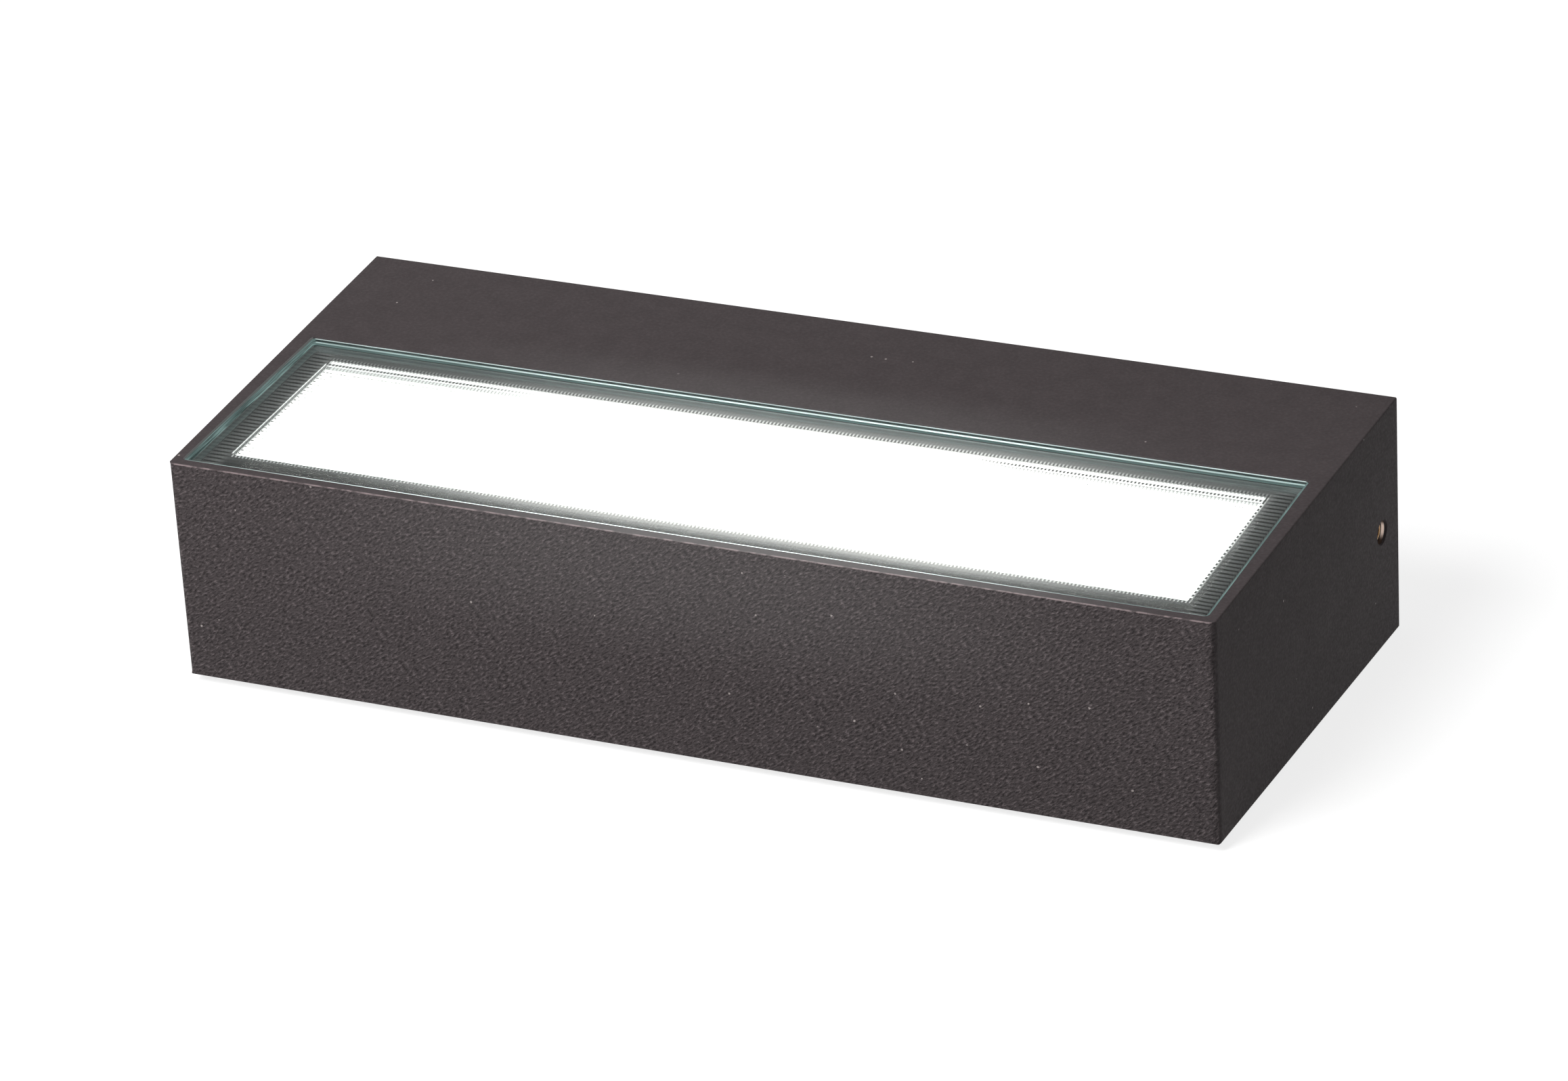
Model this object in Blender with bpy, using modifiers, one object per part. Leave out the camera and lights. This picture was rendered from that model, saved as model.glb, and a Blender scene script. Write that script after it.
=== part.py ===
"""LED wall light: a drafted aluminium casting on a notched wall bracket.

Metres, +Z up. The wall is the plane Y = 0 and the light stands out along -Y.
The origin is the centre of the bracket's back face.
"""

import math

import bmesh
import bpy
from mathutils import Matrix, Vector

OBJECT_NAME = "led_wall_light"

# Clearances and steps shared by all pieces
SEAT_GAP = 0.0003
SCREW_CLEARANCE = 0.0003
OVERRUN = 0.001
MERGE_LIMIT = 0.000001
ROUND_STEPS = 24
SMALL_ROUND_STEPS = 16
CORNER_STEPS = 4

# Housing casting: larger at the wall than at the front by its draft
HOUSING_LENGTH = 0.260
HOUSING_HEIGHT = 0.059
HOUSING_DEPTH = 0.112
END_DRAFT = 0.0028
FACE_DRAFT = 0.00215
CORNER_RADIUS = 0.0018
EDGE_RADIUS = 0.0004
WALL = 0.0036
RIM_GAP = 0.0005
FLOOR_WALL = 0.003
CORE_RADIUS = 0.002

# Foam cord in the step of the rear rim
SEAL_STEP = 0.002

# Glass and what lies under it, from the top down
GLASS_END_RIM = 0.0055
GLASS_REAR_SETBACK = 0.047
GLASS_LENGTH = HOUSING_LENGTH - 2 * GLASS_END_RIM
GLASS_WIDTH = HOUSING_DEPTH - GLASS_REAR_SETBACK
GLASS_THICKNESS = 0.005
GLASS_CHAMFER = 0.0005
GLASS_CORNER = 0.001
GLASS_EDGE_GAP = 0.00035
GLASS_DROP = 0.0002
FRONT_RIM = 0.0025
SEAL_WIDTH = 0.0018
SEAL_THICKNESS = 0.0008
COVER_AIR_GAP = 0.0004
COVER_THICKNESS = 0.0025
COVER_MARGIN = 0.0008
RIB_PITCH = 0.00165
RIB_HEIGHT = 0.0002
WINDOW_END_BORDER = 0.007
WINDOW_SIDE_BORDER = 0.0078
WINDOW_LENGTH = GLASS_LENGTH - 2 * WINDOW_END_BORDER
WINDOW_WIDTH = GLASS_WIDTH - 2 * WINDOW_SIDE_BORDER
WINDOW_SHIFT = 0.0012
PANEL_THICKNESS = 0.002
FRAME_RIM = 0.002
FRAME_FOOT_SHARE = 0.1316
FRAME_FOOT = FRAME_FOOT_SHARE * WINDOW_WIDTH
POCKET_DEPTH = 0.024

# Light source on the chamber floor
BOARD_THICKNESS = 0.0016
BOARD_SCREW_SHARES = (-0.945, -0.475, 0.475, 0.945)
CHIP_SIZE = 0.003
CHIP_HEIGHT = 0.0007
CHIP_PITCH_SHARE = 0.07
CHIP_ROW_SHARE = 0.503
CHIP_COLUMNS = 14
CONNECTOR_LENGTH = 0.008
CONNECTOR_WIDTH = 0.007
CONNECTOR_HEIGHT = 0.0045
CONNECTOR_GAP = 0.003

# Cooling fins and screw bosses under the chamber floor
FIN_COUNT = 5
FIN_PITCH_SHARE = 0.153
FIN_THICKNESS = 0.0018
FIN_HEIGHT = 0.008
FLOOR_BOSS_RADIUS = 0.0036
FLOOR_BOSS_HEIGHT = 0.0045

# Board leads and the grommet they rise through
LED_HOLE_SHARE = -0.838
LED_HOLE_RADIUS = 0.0042
LED_GROMMET_BORE = 0.0026
LED_LEAD_RADIUS = 0.0008
LED_LEAD_SPACING = 0.0026
GROMMET_FLANGE = 0.0016
GROMMET_LIP = 0.0012

# Wall bracket
BRACKET_THICKNESS = 0.002
BRACKET_MARGIN = 0.0095
BRACKET_HEIGHT = HOUSING_HEIGHT - 2 * BRACKET_MARGIN
BRACKET_BEND = 0.003
EAR_REACH = 0.017
EAR_SHOULDER = 0.007
EAR_HEIGHT = BRACKET_HEIGHT - 2 * EAR_SHOULDER
EAR_CLEARANCE = 0.0008
WALL_SLOT_WIDTH = 0.0055
WALL_SLOT_LENGTH = 0.016
LEVEL_SLOT_INSET = 0.045
PLUMB_SLOT_INSET = 0.066
CABLE_HOLE_INSET = 0.098
LEVEL_SLOT_X = HOUSING_LENGTH / 2 - LEVEL_SLOT_INSET
PLUMB_SLOT_X = HOUSING_LENGTH / 2 - PLUMB_SLOT_INSET
CABLE_HOLE_X = CABLE_HOLE_INSET - HOUSING_LENGTH / 2
CABLE_HOLE_RADIUS = 0.010
CABLE_GROMMET_BORE = 0.0075
CABLE_GROMMET_FLANGE = 0.0025

# Set screws through the ends of the housing
SIDE_SCREW_SETBACK = 0.0104
SIDE_SCREW_RADIUS = 0.0025
SIDE_SCREW_SINK = 0.0012
SIDE_POINT_RADIUS = 0.0016
SIDE_POINT_PASS = 0.0005
SIDE_POINT_CHAMFER = 0.0004
SIDE_LEAD_IN = 0.00035
HEX_RADIUS = 0.00144
HEX_DEPTH = 0.002

# Tray that carries the electrics
TRAY_SETBACK = 0.020
TRAY_THICKNESS = 0.002
TRAY_MARGIN = 0.001
TRAY_CORNER = 0.004
BOSS_RADIUS = 0.004
BOSS_INSET = 0.0035
BOSS_END_INSET = 0.0065
BOSS_LENGTH = 0.030
BOSS_HOLE_DEPTH = 0.010

# Pan-head screws: head radius, head height, shank radius, shank length
HEAD_CROWN_SHARE = 0.7
M3_HEAD_RADIUS = 0.0028
M3_HEAD_HEIGHT = 0.0022
M3_SHANK_RADIUS = 0.0015
M3_BOARD_LENGTH = 0.006
M3_TRAY_LENGTH = 0.008
M3_DRIVER_LENGTH = 0.0048
M4_HEAD_RADIUS = 0.0037
M4_HEAD_HEIGHT = 0.0028
M4_SHANK_RADIUS = 0.002
M4_EARTH_LENGTH = 0.008
M25_HEAD_RADIUS = 0.0023
M25_HEAD_HEIGHT = 0.0018
M25_SHANK_RADIUS = 0.00125
M25_FIXING_LENGTH = 0.0095

# LED driver on the front of the tray
DRIVER_X_SHARE = -0.446
DRIVER_LENGTH_SHARE = 0.338
DRIVER_X = DRIVER_X_SHARE * HOUSING_LENGTH / 2
DRIVER_Z = -0.0025
DRIVER_LENGTH = DRIVER_LENGTH_SHARE * HOUSING_LENGTH
DRIVER_MARGIN = 0.012
DRIVER_HEIGHT = HOUSING_HEIGHT - 2 * DRIVER_MARGIN
DRIVER_DEPTH = 0.0205
DRIVER_WALL = 0.0015
DRIVER_CORNER = 0.002
DRIVER_EAR = 0.006
DRIVER_EAR_HEIGHT = 0.012
DRIVER_BOARD_GAP = 0.0028
DRIVER_POST_SHARES = (-0.86, 0.86)
DRIVER_POST_RADIUS = 0.002
LID_LIP = 0.0012
COIL_LENGTH = 0.020
COIL_HEIGHT = 0.017
COIL_DEPTH = 0.0115
COIL_BOBBIN = 0.002
COIL_SHARE = 0.1
CAPACITOR_RADIUS = 0.004
CAPACITOR_LENGTH = 0.012
CAPACITOR_SHARES = ((-0.55, -0.4), (-0.55, 0.4), (0.62, 0.35))

# Terminal block on the rear of the tray
TERMINAL_X_SHARE = 0.454
TERMINAL_X = TERMINAL_X_SHARE * HOUSING_LENGTH / 2
TERMINAL_Z = 0.002
TERMINAL_CORNER = 0.003
POLE_COUNT = 3
POLE_PITCH = 0.0113
POLE_WIDTH = 0.0085
POLE_HEIGHT = 0.020
POLE_DEPTH = 0.0132
BASE_HEIGHT = 0.012
BASE_DEPTH = 0.0045
FIXING_EAR = 0.007
CLAMP_AXIS_DEPTH = 0.006
CLAMP_RADIUS = 0.0022
CLAMP_BORE = 0.0014
CLAMP_LENGTH = 0.016
CLAMP_SCREW_RADIUS = 0.0014
CLAMP_SCREW_SPACING = 0.009
CLAMP_SCREW_SINK = 0.001

# Leads on the supply side
TRAY_GROMMET_X_SHARE = 0.185
TRAY_GROMMET_X = TRAY_GROMMET_X_SHARE * HOUSING_LENGTH / 2
TRAY_GROMMET_Z = -0.010
TRAY_GROMMET_BORE = 0.0034
TRAY_HOLE_RADIUS = 0.0052
MAINS_LEAD_RADIUS = 0.0011
MAINS_LEAD_SPACING = 0.0032
MAINS_LEAD_SPREAD = 0.0052
LEAD_GRIP = 0.005
LEAD_STEP = 0.001
LEAD_ENTRY_DEPTH = 0.0112
LEAD_ENTRY_DROP = 0.0055

# Protective earth on the rear of the tray
EARTH_X_SHARE = 0.746
EARTH_X = EARTH_X_SHARE * HOUSING_LENGTH / 2
EARTH_Z = -0.008
WASHER_RADIUS = 0.0046
WASHER_THICKNESS = 0.0008
TAG_RADIUS = 0.0040
TAG_THICKNESS = 0.0008
TAG_TONGUE = 0.0085
TAG_BARREL_RADIUS = 0.0019

# Turn of a curve's XY plane so that its X lies along Y and its Y along Z
SIDE_VIEW = (math.radians(90), 0.0, math.radians(90))

# Planes and faces worked out from the sizes above
BACK_Y = -RIM_GAP
FRONT_Y = BACK_Y - HOUSING_DEPTH
TOP_TILT = math.atan2(FACE_DRAFT, HOUSING_DEPTH)
TRAY_REAR_Y = -TRAY_SETBACK
TRAY_FRONT_Y = TRAY_REAR_Y - TRAY_THICKNESS
SIDE_SCREW_Y = BACK_Y - SIDE_SCREW_SETBACK


def draft_share(y):
    """How far along the depth a place lies, from 0 at the rim to 1 at the front."""
    return (BACK_Y - y) / HOUSING_DEPTH


def half_length_at(y):
    """Half the outer length of the housing at a depth."""
    return HOUSING_LENGTH / 2 - END_DRAFT * draft_share(y)


def half_height_at(y):
    """Half the outer height of the housing at a depth."""
    return HOUSING_HEIGHT / 2 - FACE_DRAFT * draft_share(y)


# Glass opening: its centre on the sloping top face
OPENING_LENGTH = GLASS_LENGTH + 2 * GLASS_EDGE_GAP
OPENING_WIDTH = GLASS_WIDTH + 2 * GLASS_EDGE_GAP
OPENING_REACH = FRONT_RIM + OPENING_WIDTH / 2
OPENING_Y = FRONT_Y + OPENING_REACH * math.cos(TOP_TILT)
OPENING_Z = half_height_at(OPENING_Y)
OPENING_REAR_Y = OPENING_Y + OPENING_WIDTH / 2 * math.cos(TOP_TILT)

# Levels under the top face, measured square to it and downwards
GLASS_BOTTOM = -GLASS_DROP - GLASS_THICKNESS
SEAL_TOP = GLASS_BOTTOM - SEAT_GAP
GLASS_LEDGE = SEAL_TOP - SEAL_THICKNESS - SEAT_GAP
COVER_TOP = GLASS_BOTTOM - COVER_AIR_GAP
COVER_BOTTOM = COVER_TOP - COVER_THICKNESS
COVER_LEDGE = COVER_BOTTOM - SEAT_GAP
PANEL_TOP = COVER_LEDGE
PANEL_BOTTOM = PANEL_TOP - PANEL_THICKNESS
FRAME_TOP = PANEL_BOTTOM - SEAT_GAP
FLOOR_TOP = -POCKET_DEPTH
BOARD_BOTTOM = FLOOR_TOP + SEAT_GAP
BOARD_TOP = BOARD_BOTTOM + BOARD_THICKNESS

# Outlines of the stack under the glass
COVER_OPENING_LENGTH = OPENING_LENGTH - 2 * (SEAL_WIDTH + GLASS_EDGE_GAP)
COVER_OPENING_WIDTH = OPENING_WIDTH - 2 * (SEAL_WIDTH + GLASS_EDGE_GAP)
COVER_LENGTH = COVER_OPENING_LENGTH - 2 * SEAT_GAP
COVER_WIDTH = COVER_OPENING_WIDTH - 2 * SEAT_GAP
POCKET_LENGTH = WINDOW_LENGTH + 2 * SEAT_GAP
POCKET_WIDTH = WINDOW_WIDTH + 2 * SEAT_GAP
POCKET_REAR_Y = OPENING_Y + (WINDOW_SHIFT + POCKET_WIDTH / 2) * math.cos(TOP_TILT)
FRAME_HOLE_LENGTH = WINDOW_LENGTH - 2 * FRAME_FOOT
FRAME_HOLE_WIDTH = WINDOW_WIDTH - 2 * FRAME_FOOT
BOARD_LENGTH = FRAME_HOLE_LENGTH - 2 * SEAT_GAP
BOARD_WIDTH = FRAME_HOLE_WIDTH - 2 * SEAT_GAP
CHIP_PITCH = CHIP_PITCH_SHARE * BOARD_LENGTH
CHIP_ROW_SPACING = CHIP_ROW_SHARE * BOARD_WIDTH
FIN_PITCH = FIN_PITCH_SHARE * WINDOW_LENGTH
LED_HOLE_X = LED_HOLE_SHARE * BOARD_LENGTH / 2
CONNECTOR_X = LED_HOLE_X + LED_HOLE_RADIUS + CONNECTOR_GAP

# Walls round the light chamber, seen from the space behind and under it
CHAMBER_Y = OPENING_REAR_Y + WALL
POCKET_WALL_Y = POCKET_REAR_Y + WALL
STEP_Z = OPENING_Z + COVER_LEDGE - WALL
FLOOR_DIP = POCKET_WIDTH / 2 * math.sin(TOP_TILT)
FLOOR_UNDER_Z = OPENING_Z - POCKET_DEPTH - FLOOR_DIP - FLOOR_WALL
FRONT_WALL_Y = FRONT_Y + WALL

# Tray and its bosses
TRAY_HALF_LENGTH = half_length_at(TRAY_FRONT_Y) - WALL - TRAY_MARGIN
TRAY_HALF_HEIGHT = half_height_at(TRAY_FRONT_Y) - WALL - TRAY_MARGIN
BOSS_Y = TRAY_FRONT_Y - SEAT_GAP
BOSS_X = half_length_at(BOSS_Y) - WALL - BOSS_END_INSET
BOSS_Z = half_height_at(BOSS_Y) - WALL - BOSS_INSET

# Bracket ears
EAR_OUTER_X = half_length_at(-EAR_REACH) - WALL - EAR_CLEARANCE
EAR_INNER_X = EAR_OUTER_X - BRACKET_THICKNESS
NOTCH_RADIUS = SIDE_POINT_RADIUS + SEAT_GAP

# Axis of the crimped barrel, which lies on the tray
BARREL_Y = TRAY_REAR_Y + SEAT_GAP + TAG_BARREL_RADIUS

# Driver faces
DRIVER_REAR_Y = TRAY_FRONT_Y - SEAT_GAP
DRIVER_FRONT_Y = DRIVER_REAR_Y - DRIVER_DEPTH
DRIVER_BOARD_Y = DRIVER_REAR_Y - DRIVER_WALL - DRIVER_BOARD_GAP
DRIVER_SCREW_X = DRIVER_LENGTH / 2 + DRIVER_EAR / 2

# Terminal faces
TERMINAL_Y = TRAY_REAR_Y + SEAT_GAP
CLAMP_Y = TERMINAL_Y + CLAMP_AXIS_DEPTH
FIXING_X = POLE_COUNT * POLE_PITCH / 2 + FIXING_EAR / 2


# Scene, materials and objects

def clear_scene():
    """Remove the objects and the emptied data of the open scene."""
    for obj in list(bpy.data.objects):
        bpy.data.objects.remove(obj, do_unlink=True)
    for group in list(bpy.data.collections):
        bpy.data.collections.remove(group)
    for block in (bpy.data.meshes, bpy.data.curves, bpy.data.materials):
        for item in list(block):
            block.remove(item)


def new_collection(name):
    group = bpy.data.collections.new(name)
    bpy.context.scene.collection.children.link(group)
    return group


def make_material(name, colour, roughness, metallic=0.0, glow=0.0):
    """Principled material with the piece's colour, gloss and, if it is lit, its glow."""
    material = bpy.data.materials.new(name)
    material.use_nodes = True
    material.diffuse_color = (*colour, 1.0)
    shader = material.node_tree.nodes["Principled BSDF"]
    shader.inputs["Base Color"].default_value = (*colour, 1.0)
    shader.inputs["Roughness"].default_value = roughness
    shader.inputs["Metallic"].default_value = metallic
    shader.inputs["Emission Color"].default_value = (*colour, 1.0)
    shader.inputs["Emission Strength"].default_value = glow
    return material


def new_empty(name, place, parent=None):
    empty = bpy.data.objects.new(name, None)
    PARTS.objects.link(empty)
    empty.location = place
    empty.parent = parent
    return empty


def add_object(name, data, parent=None):
    """A finished piece in the object's collection."""
    obj = bpy.data.objects.new(name, data)
    PARTS.objects.link(obj)
    obj.parent = parent
    return obj


def as_tool(obj):
    """Turn an object into a hidden tool for a Boolean."""
    PARTS.objects.unlink(obj)
    TOOLS.objects.link(obj)
    obj.hide_render = True
    obj.display_type = "WIRE"
    return obj


def boolean(target, tool, operation):
    modifier = target.modifiers.new(f"{operation.lower()} {tool.name}", "BOOLEAN")
    modifier.operation = operation
    modifier.solver = "EXACT"
    modifier.object = as_tool(tool)


def cut(target, *tools):
    for tool in tools:
        boolean(target, tool, "DIFFERENCE")


def fuse(target, *tools):
    for tool in tools:
        boolean(target, tool, "UNION")


def smooth_rounds(obj):
    """Shade a round piece smooth, with its sharp edges kept."""
    obj.data.shade_smooth()
    obj.data.set_sharp_from_angle(angle=math.radians(35))


# Basic shapes

def mesh_from(name, bm):
    mesh = bpy.data.meshes.new(name)
    bm.normal_update()
    bm.to_mesh(mesh)
    bm.free()
    return mesh


def block(name, low, high, parent=None):
    """Box between two opposite corners."""
    low, high = Vector(low), Vector(high)
    bm = bmesh.new()
    scale = Matrix.Diagonal((*(high - low), 1.0))
    bmesh.ops.create_cube(bm, size=1.0, matrix=Matrix.Translation((low + high) / 2) @ scale)
    return add_object(name, mesh_from(name, bm), parent)


def drafted_block(name, back, front, parent=None):
    """Box whose back and front faces differ: each is (y, half length, low z, high z)."""
    bm = bmesh.new()
    bmesh.ops.create_cube(bm, size=1.0)
    for vert in bm.verts:
        y, half_length, low, high = back if vert.co.y > 0 else front
        side = math.copysign(half_length, vert.co.x)
        vert.co = Vector((side, y, high if vert.co.z > 0 else low))
    return add_object(name, mesh_from(name, bm), parent)


def flared_block(name, bottom, top, shift, parent=None):
    """Box whose bottom and top differ: each is (z, length, width), centred on y = shift."""
    bm = bmesh.new()
    bmesh.ops.create_cube(bm, size=1.0)
    for vert in bm.verts:
        z, length, width = top if vert.co.z > 0 else bottom
        vert.co = Vector((vert.co.x * length, vert.co.y * width + shift, z))
    return add_object(name, mesh_from(name, bm), parent)


def rod(name, radius, start, end, parent=None, end_radius=None, steps=ROUND_STEPS):
    """Cylinder or cone between two points."""
    start, end = Vector(start), Vector(end)
    axis = end - start
    turn = axis.to_track_quat("Z", "Y").to_matrix().to_4x4()
    bm = bmesh.new()
    bmesh.ops.create_cone(
        bm,
        cap_ends=True,
        segments=steps,
        radius1=radius,
        radius2=radius if end_radius is None else end_radius,
        depth=axis.length,
        matrix=Matrix.Translation((start + end) / 2) @ turn,
    )
    obj = add_object(name, mesh_from(name, bm), parent)
    smooth_rounds(obj)
    return obj


def turned(name, profile, parent=None, closed=False, steps=ROUND_STEPS):
    """Revolve a profile of (radius, height) points, given down its outer side, about Z."""
    bm = bmesh.new()
    verts = [bm.verts.new((radius, 0.0, height)) for radius, height in profile]
    for first, second in zip(verts, verts[1:]):
        bm.edges.new((first, second))
    if closed:
        bm.edges.new((verts[-1], verts[0]))
    obj = add_object(name, mesh_from(name, bm), parent)
    screw = obj.modifiers.new("turn", "SCREW")
    screw.steps = steps
    screw.render_steps = steps
    screw.use_merge_vertices = True
    screw.merge_threshold = MERGE_LIMIT
    screw.use_smooth_shade = False
    return obj


def round_edges(obj, width, steps=2, angle=30):
    bevel = obj.modifiers.new("rounded edges", "BEVEL")
    bevel.width = width
    bevel.segments = steps
    bevel.limit_method = "ANGLE"
    bevel.angle_limit = math.radians(angle)
    return bevel


def round_upright_edges(obj, radius, axis="Z", steps=CORNER_STEPS):
    """Round only the edges that run along one axis of the mesh."""
    number = "XYZ".index(axis)
    mesh = obj.data
    weights = mesh.attributes.new("bevel_weight_edge", "FLOAT", "EDGE")
    for edge in mesh.edges:
        first, second = (mesh.vertices[i].co for i in edge.vertices)
        along = (second - first).normalized()
        runs_along = abs(along[number]) > math.cos(math.radians(10))
        weights.data[edge.index].value = 1.0 if runs_along else 0.0
    bevel = obj.modifiers.new("rounded corners", "BEVEL")
    bevel.width = radius
    bevel.segments = steps
    bevel.limit_method = "WEIGHT"
    return bevel


def evaluated_mesh(obj):
    graph = bpy.context.evaluated_depsgraph_get()
    return bpy.data.meshes.new_from_object(obj.evaluated_get(graph))


def made_mesh(curve_obj):
    """Replace a curve object by its welded mesh, so that it can be cut or joined."""
    bpy.context.view_layer.update()
    mesh = evaluated_mesh(curve_obj)
    bm = bmesh.new()
    bm.from_mesh(mesh)
    bmesh.ops.remove_doubles(bm, verts=bm.verts, dist=MERGE_LIMIT)
    bm.to_mesh(mesh)
    bm.free()
    name = curve_obj.name
    parent = curve_obj.parent
    place = curve_obj.matrix_world.copy()
    bpy.data.objects.remove(curve_obj, do_unlink=True)
    obj = add_object(name, mesh, parent)
    obj.matrix_world = place
    return obj


def plate(name, points, thickness, turn, place, parent=None):
    """Flat outline in the curve's XY plane, given a thickness and then turned and placed."""
    curve = bpy.data.curves.new(name, "CURVE")
    curve.dimensions = "2D"
    curve.fill_mode = "BOTH"
    curve.extrude = thickness / 2
    spline = curve.splines.new("POLY")
    spline.points.add(len(points) - 1)
    for point, (x, y) in zip(spline.points, points):
        point.co = (x, y, 0.0, 1.0)
    spline.use_cyclic_u = True
    obj = add_object(name, curve, parent)
    obj.rotation_euler = turn
    obj.location = place
    return made_mesh(obj)


def slot_outline(length, width, steps=CORNER_STEPS * 2):
    """Outline of a slot with round ends, long along X."""
    radius = width / 2
    reach = length / 2 - radius
    points = []
    for side, start in ((1, -90), (-1, 90)):
        for step in range(steps + 1):
            angle = math.radians(start + 180 * step / steps)
            points.append((side * reach + radius * math.cos(angle), radius * math.sin(angle)))
    return points


def block_pattern(name, size, places, parent=None):
    """Equal boxes, each standing on its own place, as one tool for a union."""
    bm = bmesh.new()
    scale = Matrix.Diagonal((*size, 1.0))
    for place in places:
        middle = Vector(place) + Vector((0.0, 0.0, size[2] / 2))
        bmesh.ops.create_cube(bm, size=1.0, matrix=Matrix.Translation(middle) @ scale)
    return add_object(name, mesh_from(name, bm), parent)


def smooth_points(route, gap):
    """Points read every gap or so from a smooth curve through the route's own points."""
    route = [Vector(point) for point in route]
    padded = [2 * route[0] - route[1], *route, 2 * route[-1] - route[-2]]
    points = [route[0]]
    for before, start, end, after in zip(padded, padded[1:], padded[2:], padded[3:]):
        count = max(2, round((end - start).length / gap))
        for step in range(1, count + 1):
            t = step / count
            points.append(
                0.5 * (
                    2 * start
                    + (end - before) * t
                    + (2 * before - 5 * start + 4 * end - after) * t ** 2
                    + (3 * start - before - 3 * end + after) * t ** 3
                )
            )
    return points


def lead(name, route, radius, parent=None):
    """Insulated wire along a smooth route."""
    points = smooth_points(route, 3 * 2 * radius)
    curve = bpy.data.curves.new(name, "CURVE")
    curve.dimensions = "3D"
    curve.bevel_depth = radius
    curve.bevel_resolution = 2
    curve.use_fill_caps = True
    spline = curve.splines.new("POLY")
    spline.points.add(len(points) - 1)
    for point, place in zip(spline.points, points):
        point.co = (*place, 1.0)
    return made_mesh(add_object(name, curve, parent))


def pan_head(name, head_radius, head_height, shank_radius, shank_length):
    """Screw along Z with the underside of its head at the origin and its shank below."""
    shoulder = head_height / 2
    profile = [
        (0.0, head_height),
        (head_radius * HEAD_CROWN_SHARE, head_height),
        (head_radius, shoulder),
        (head_radius, 0.0),
        (shank_radius, 0.0),
        (shank_radius, -shank_length + shank_radius / 2),
        (shank_radius / 2, -shank_length),
        (0.0, -shank_length),
    ]
    return turned(name, profile, steps=SMALL_ROUND_STEPS)


def place_piece(obj, place, parent, material):
    """Hang a piece under its parent at a matrix and give it its material."""
    obj.parent = parent
    obj.matrix_basis = place
    obj.data.materials.append(material)


def facing(direction, place):
    """Matrix that turns +Z to a direction and moves to a place."""
    turn = Vector(direction).to_track_quat("Z", "Y").to_matrix().to_4x4()
    return Matrix.Translation(place) @ turn


# Housing

def housing_body():
    """Outer form: a box with draft, big radii on its front corners and small ones elsewhere."""
    back = (BACK_Y, HOUSING_LENGTH / 2, -HOUSING_HEIGHT / 2, HOUSING_HEIGHT / 2)
    half_front = half_height_at(FRONT_Y)
    front = (FRONT_Y, half_length_at(FRONT_Y), -half_front, half_front)
    body = drafted_block("housing", back, front, LAMP)
    mesh = body.data
    weights = mesh.attributes.new("bevel_weight_edge", "FLOAT", "EDGE")
    for edge in mesh.edges:
        first, second = (mesh.vertices[i].co for i in edge.vertices)
        middle = (first + second) / 2
        upright = abs(second.z - first.z) > abs(second.x - first.x) + abs(second.y - first.y)
        if middle.y > BACK_Y - OVERRUN:
            weight = 0.0
        elif upright:
            weight = 1.0
        else:
            weight = EDGE_RADIUS / CORNER_RADIUS
        weights.data[edge.index].value = weight
    bevel = body.modifiers.new("cast radii", "BEVEL")
    bevel.width = CORNER_RADIUS
    bevel.segments = CORNER_STEPS
    bevel.limit_method = "WEIGHT"
    return body


def rear_core():
    """Core pulled out at the back: parallel to the outer walls and stepped under the glass."""
    back_y = BACK_Y + OVERRUN
    side_view = [
        (back_y, WALL - half_height_at(back_y)),
        (back_y, half_height_at(back_y) - WALL),
        (CHAMBER_Y, half_height_at(CHAMBER_Y) - WALL),
        (CHAMBER_Y, STEP_Z),
        (POCKET_WALL_Y, STEP_Z),
        (POCKET_WALL_Y, FLOOR_UNDER_Z),
        (FRONT_WALL_Y, FLOOR_UNDER_Z),
        (FRONT_WALL_Y, WALL - half_height_at(FRONT_WALL_Y)),
    ]
    core = plate("rear core", side_view, HOUSING_LENGTH, SIDE_VIEW, (0.0, 0.0, 0.0), LAMP)
    core.data.transform(core.matrix_world)
    core.matrix_world = Matrix.Identity(4)
    for vert in core.data.vertices:
        vert.co.x = math.copysign(half_length_at(vert.co.y) - WALL, vert.co.x)
    return core


def rim_step():
    """Step on the inner side of the rear rim, where the foam cord lies."""
    low_y = BACK_Y - SEAL_STEP
    reach = WALL - SEAL_STEP
    back = (BACK_Y + OVERRUN, HOUSING_LENGTH / 2 - reach, reach - HOUSING_HEIGHT / 2,
            HOUSING_HEIGHT / 2 - reach)
    front = (low_y, HOUSING_LENGTH / 2 - reach, reach - HOUSING_HEIGHT / 2,
             HOUSING_HEIGHT / 2 - reach)
    return drafted_block("rim step core", back, front, LAMP)


def top_core(name, length, width, shift, bottom, corner=GLASS_CORNER):
    """Core from above into the light chamber, square to the top face."""
    core = block(
        name,
        (-length / 2, shift - width / 2, bottom),
        (length / 2, shift + width / 2, OVERRUN * 2),
        LIGHT,
    )
    round_upright_edges(core, corner, "Z", 2)
    return core


def fins():
    """Cooling fins that hang from the chamber floor."""
    for number in range(FIN_COUNT):
        x = (number - (FIN_COUNT - 1) / 2) * FIN_PITCH
        yield block(
            f"fin {number + 1}",
            (x - FIN_THICKNESS / 2, FRONT_WALL_Y - OVERRUN, FLOOR_UNDER_Z - FIN_HEIGHT),
            (x + FIN_THICKNESS / 2, POCKET_WALL_Y - 2 * OVERRUN, FLOOR_UNDER_Z + OVERRUN),
            LAMP,
        )


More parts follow.
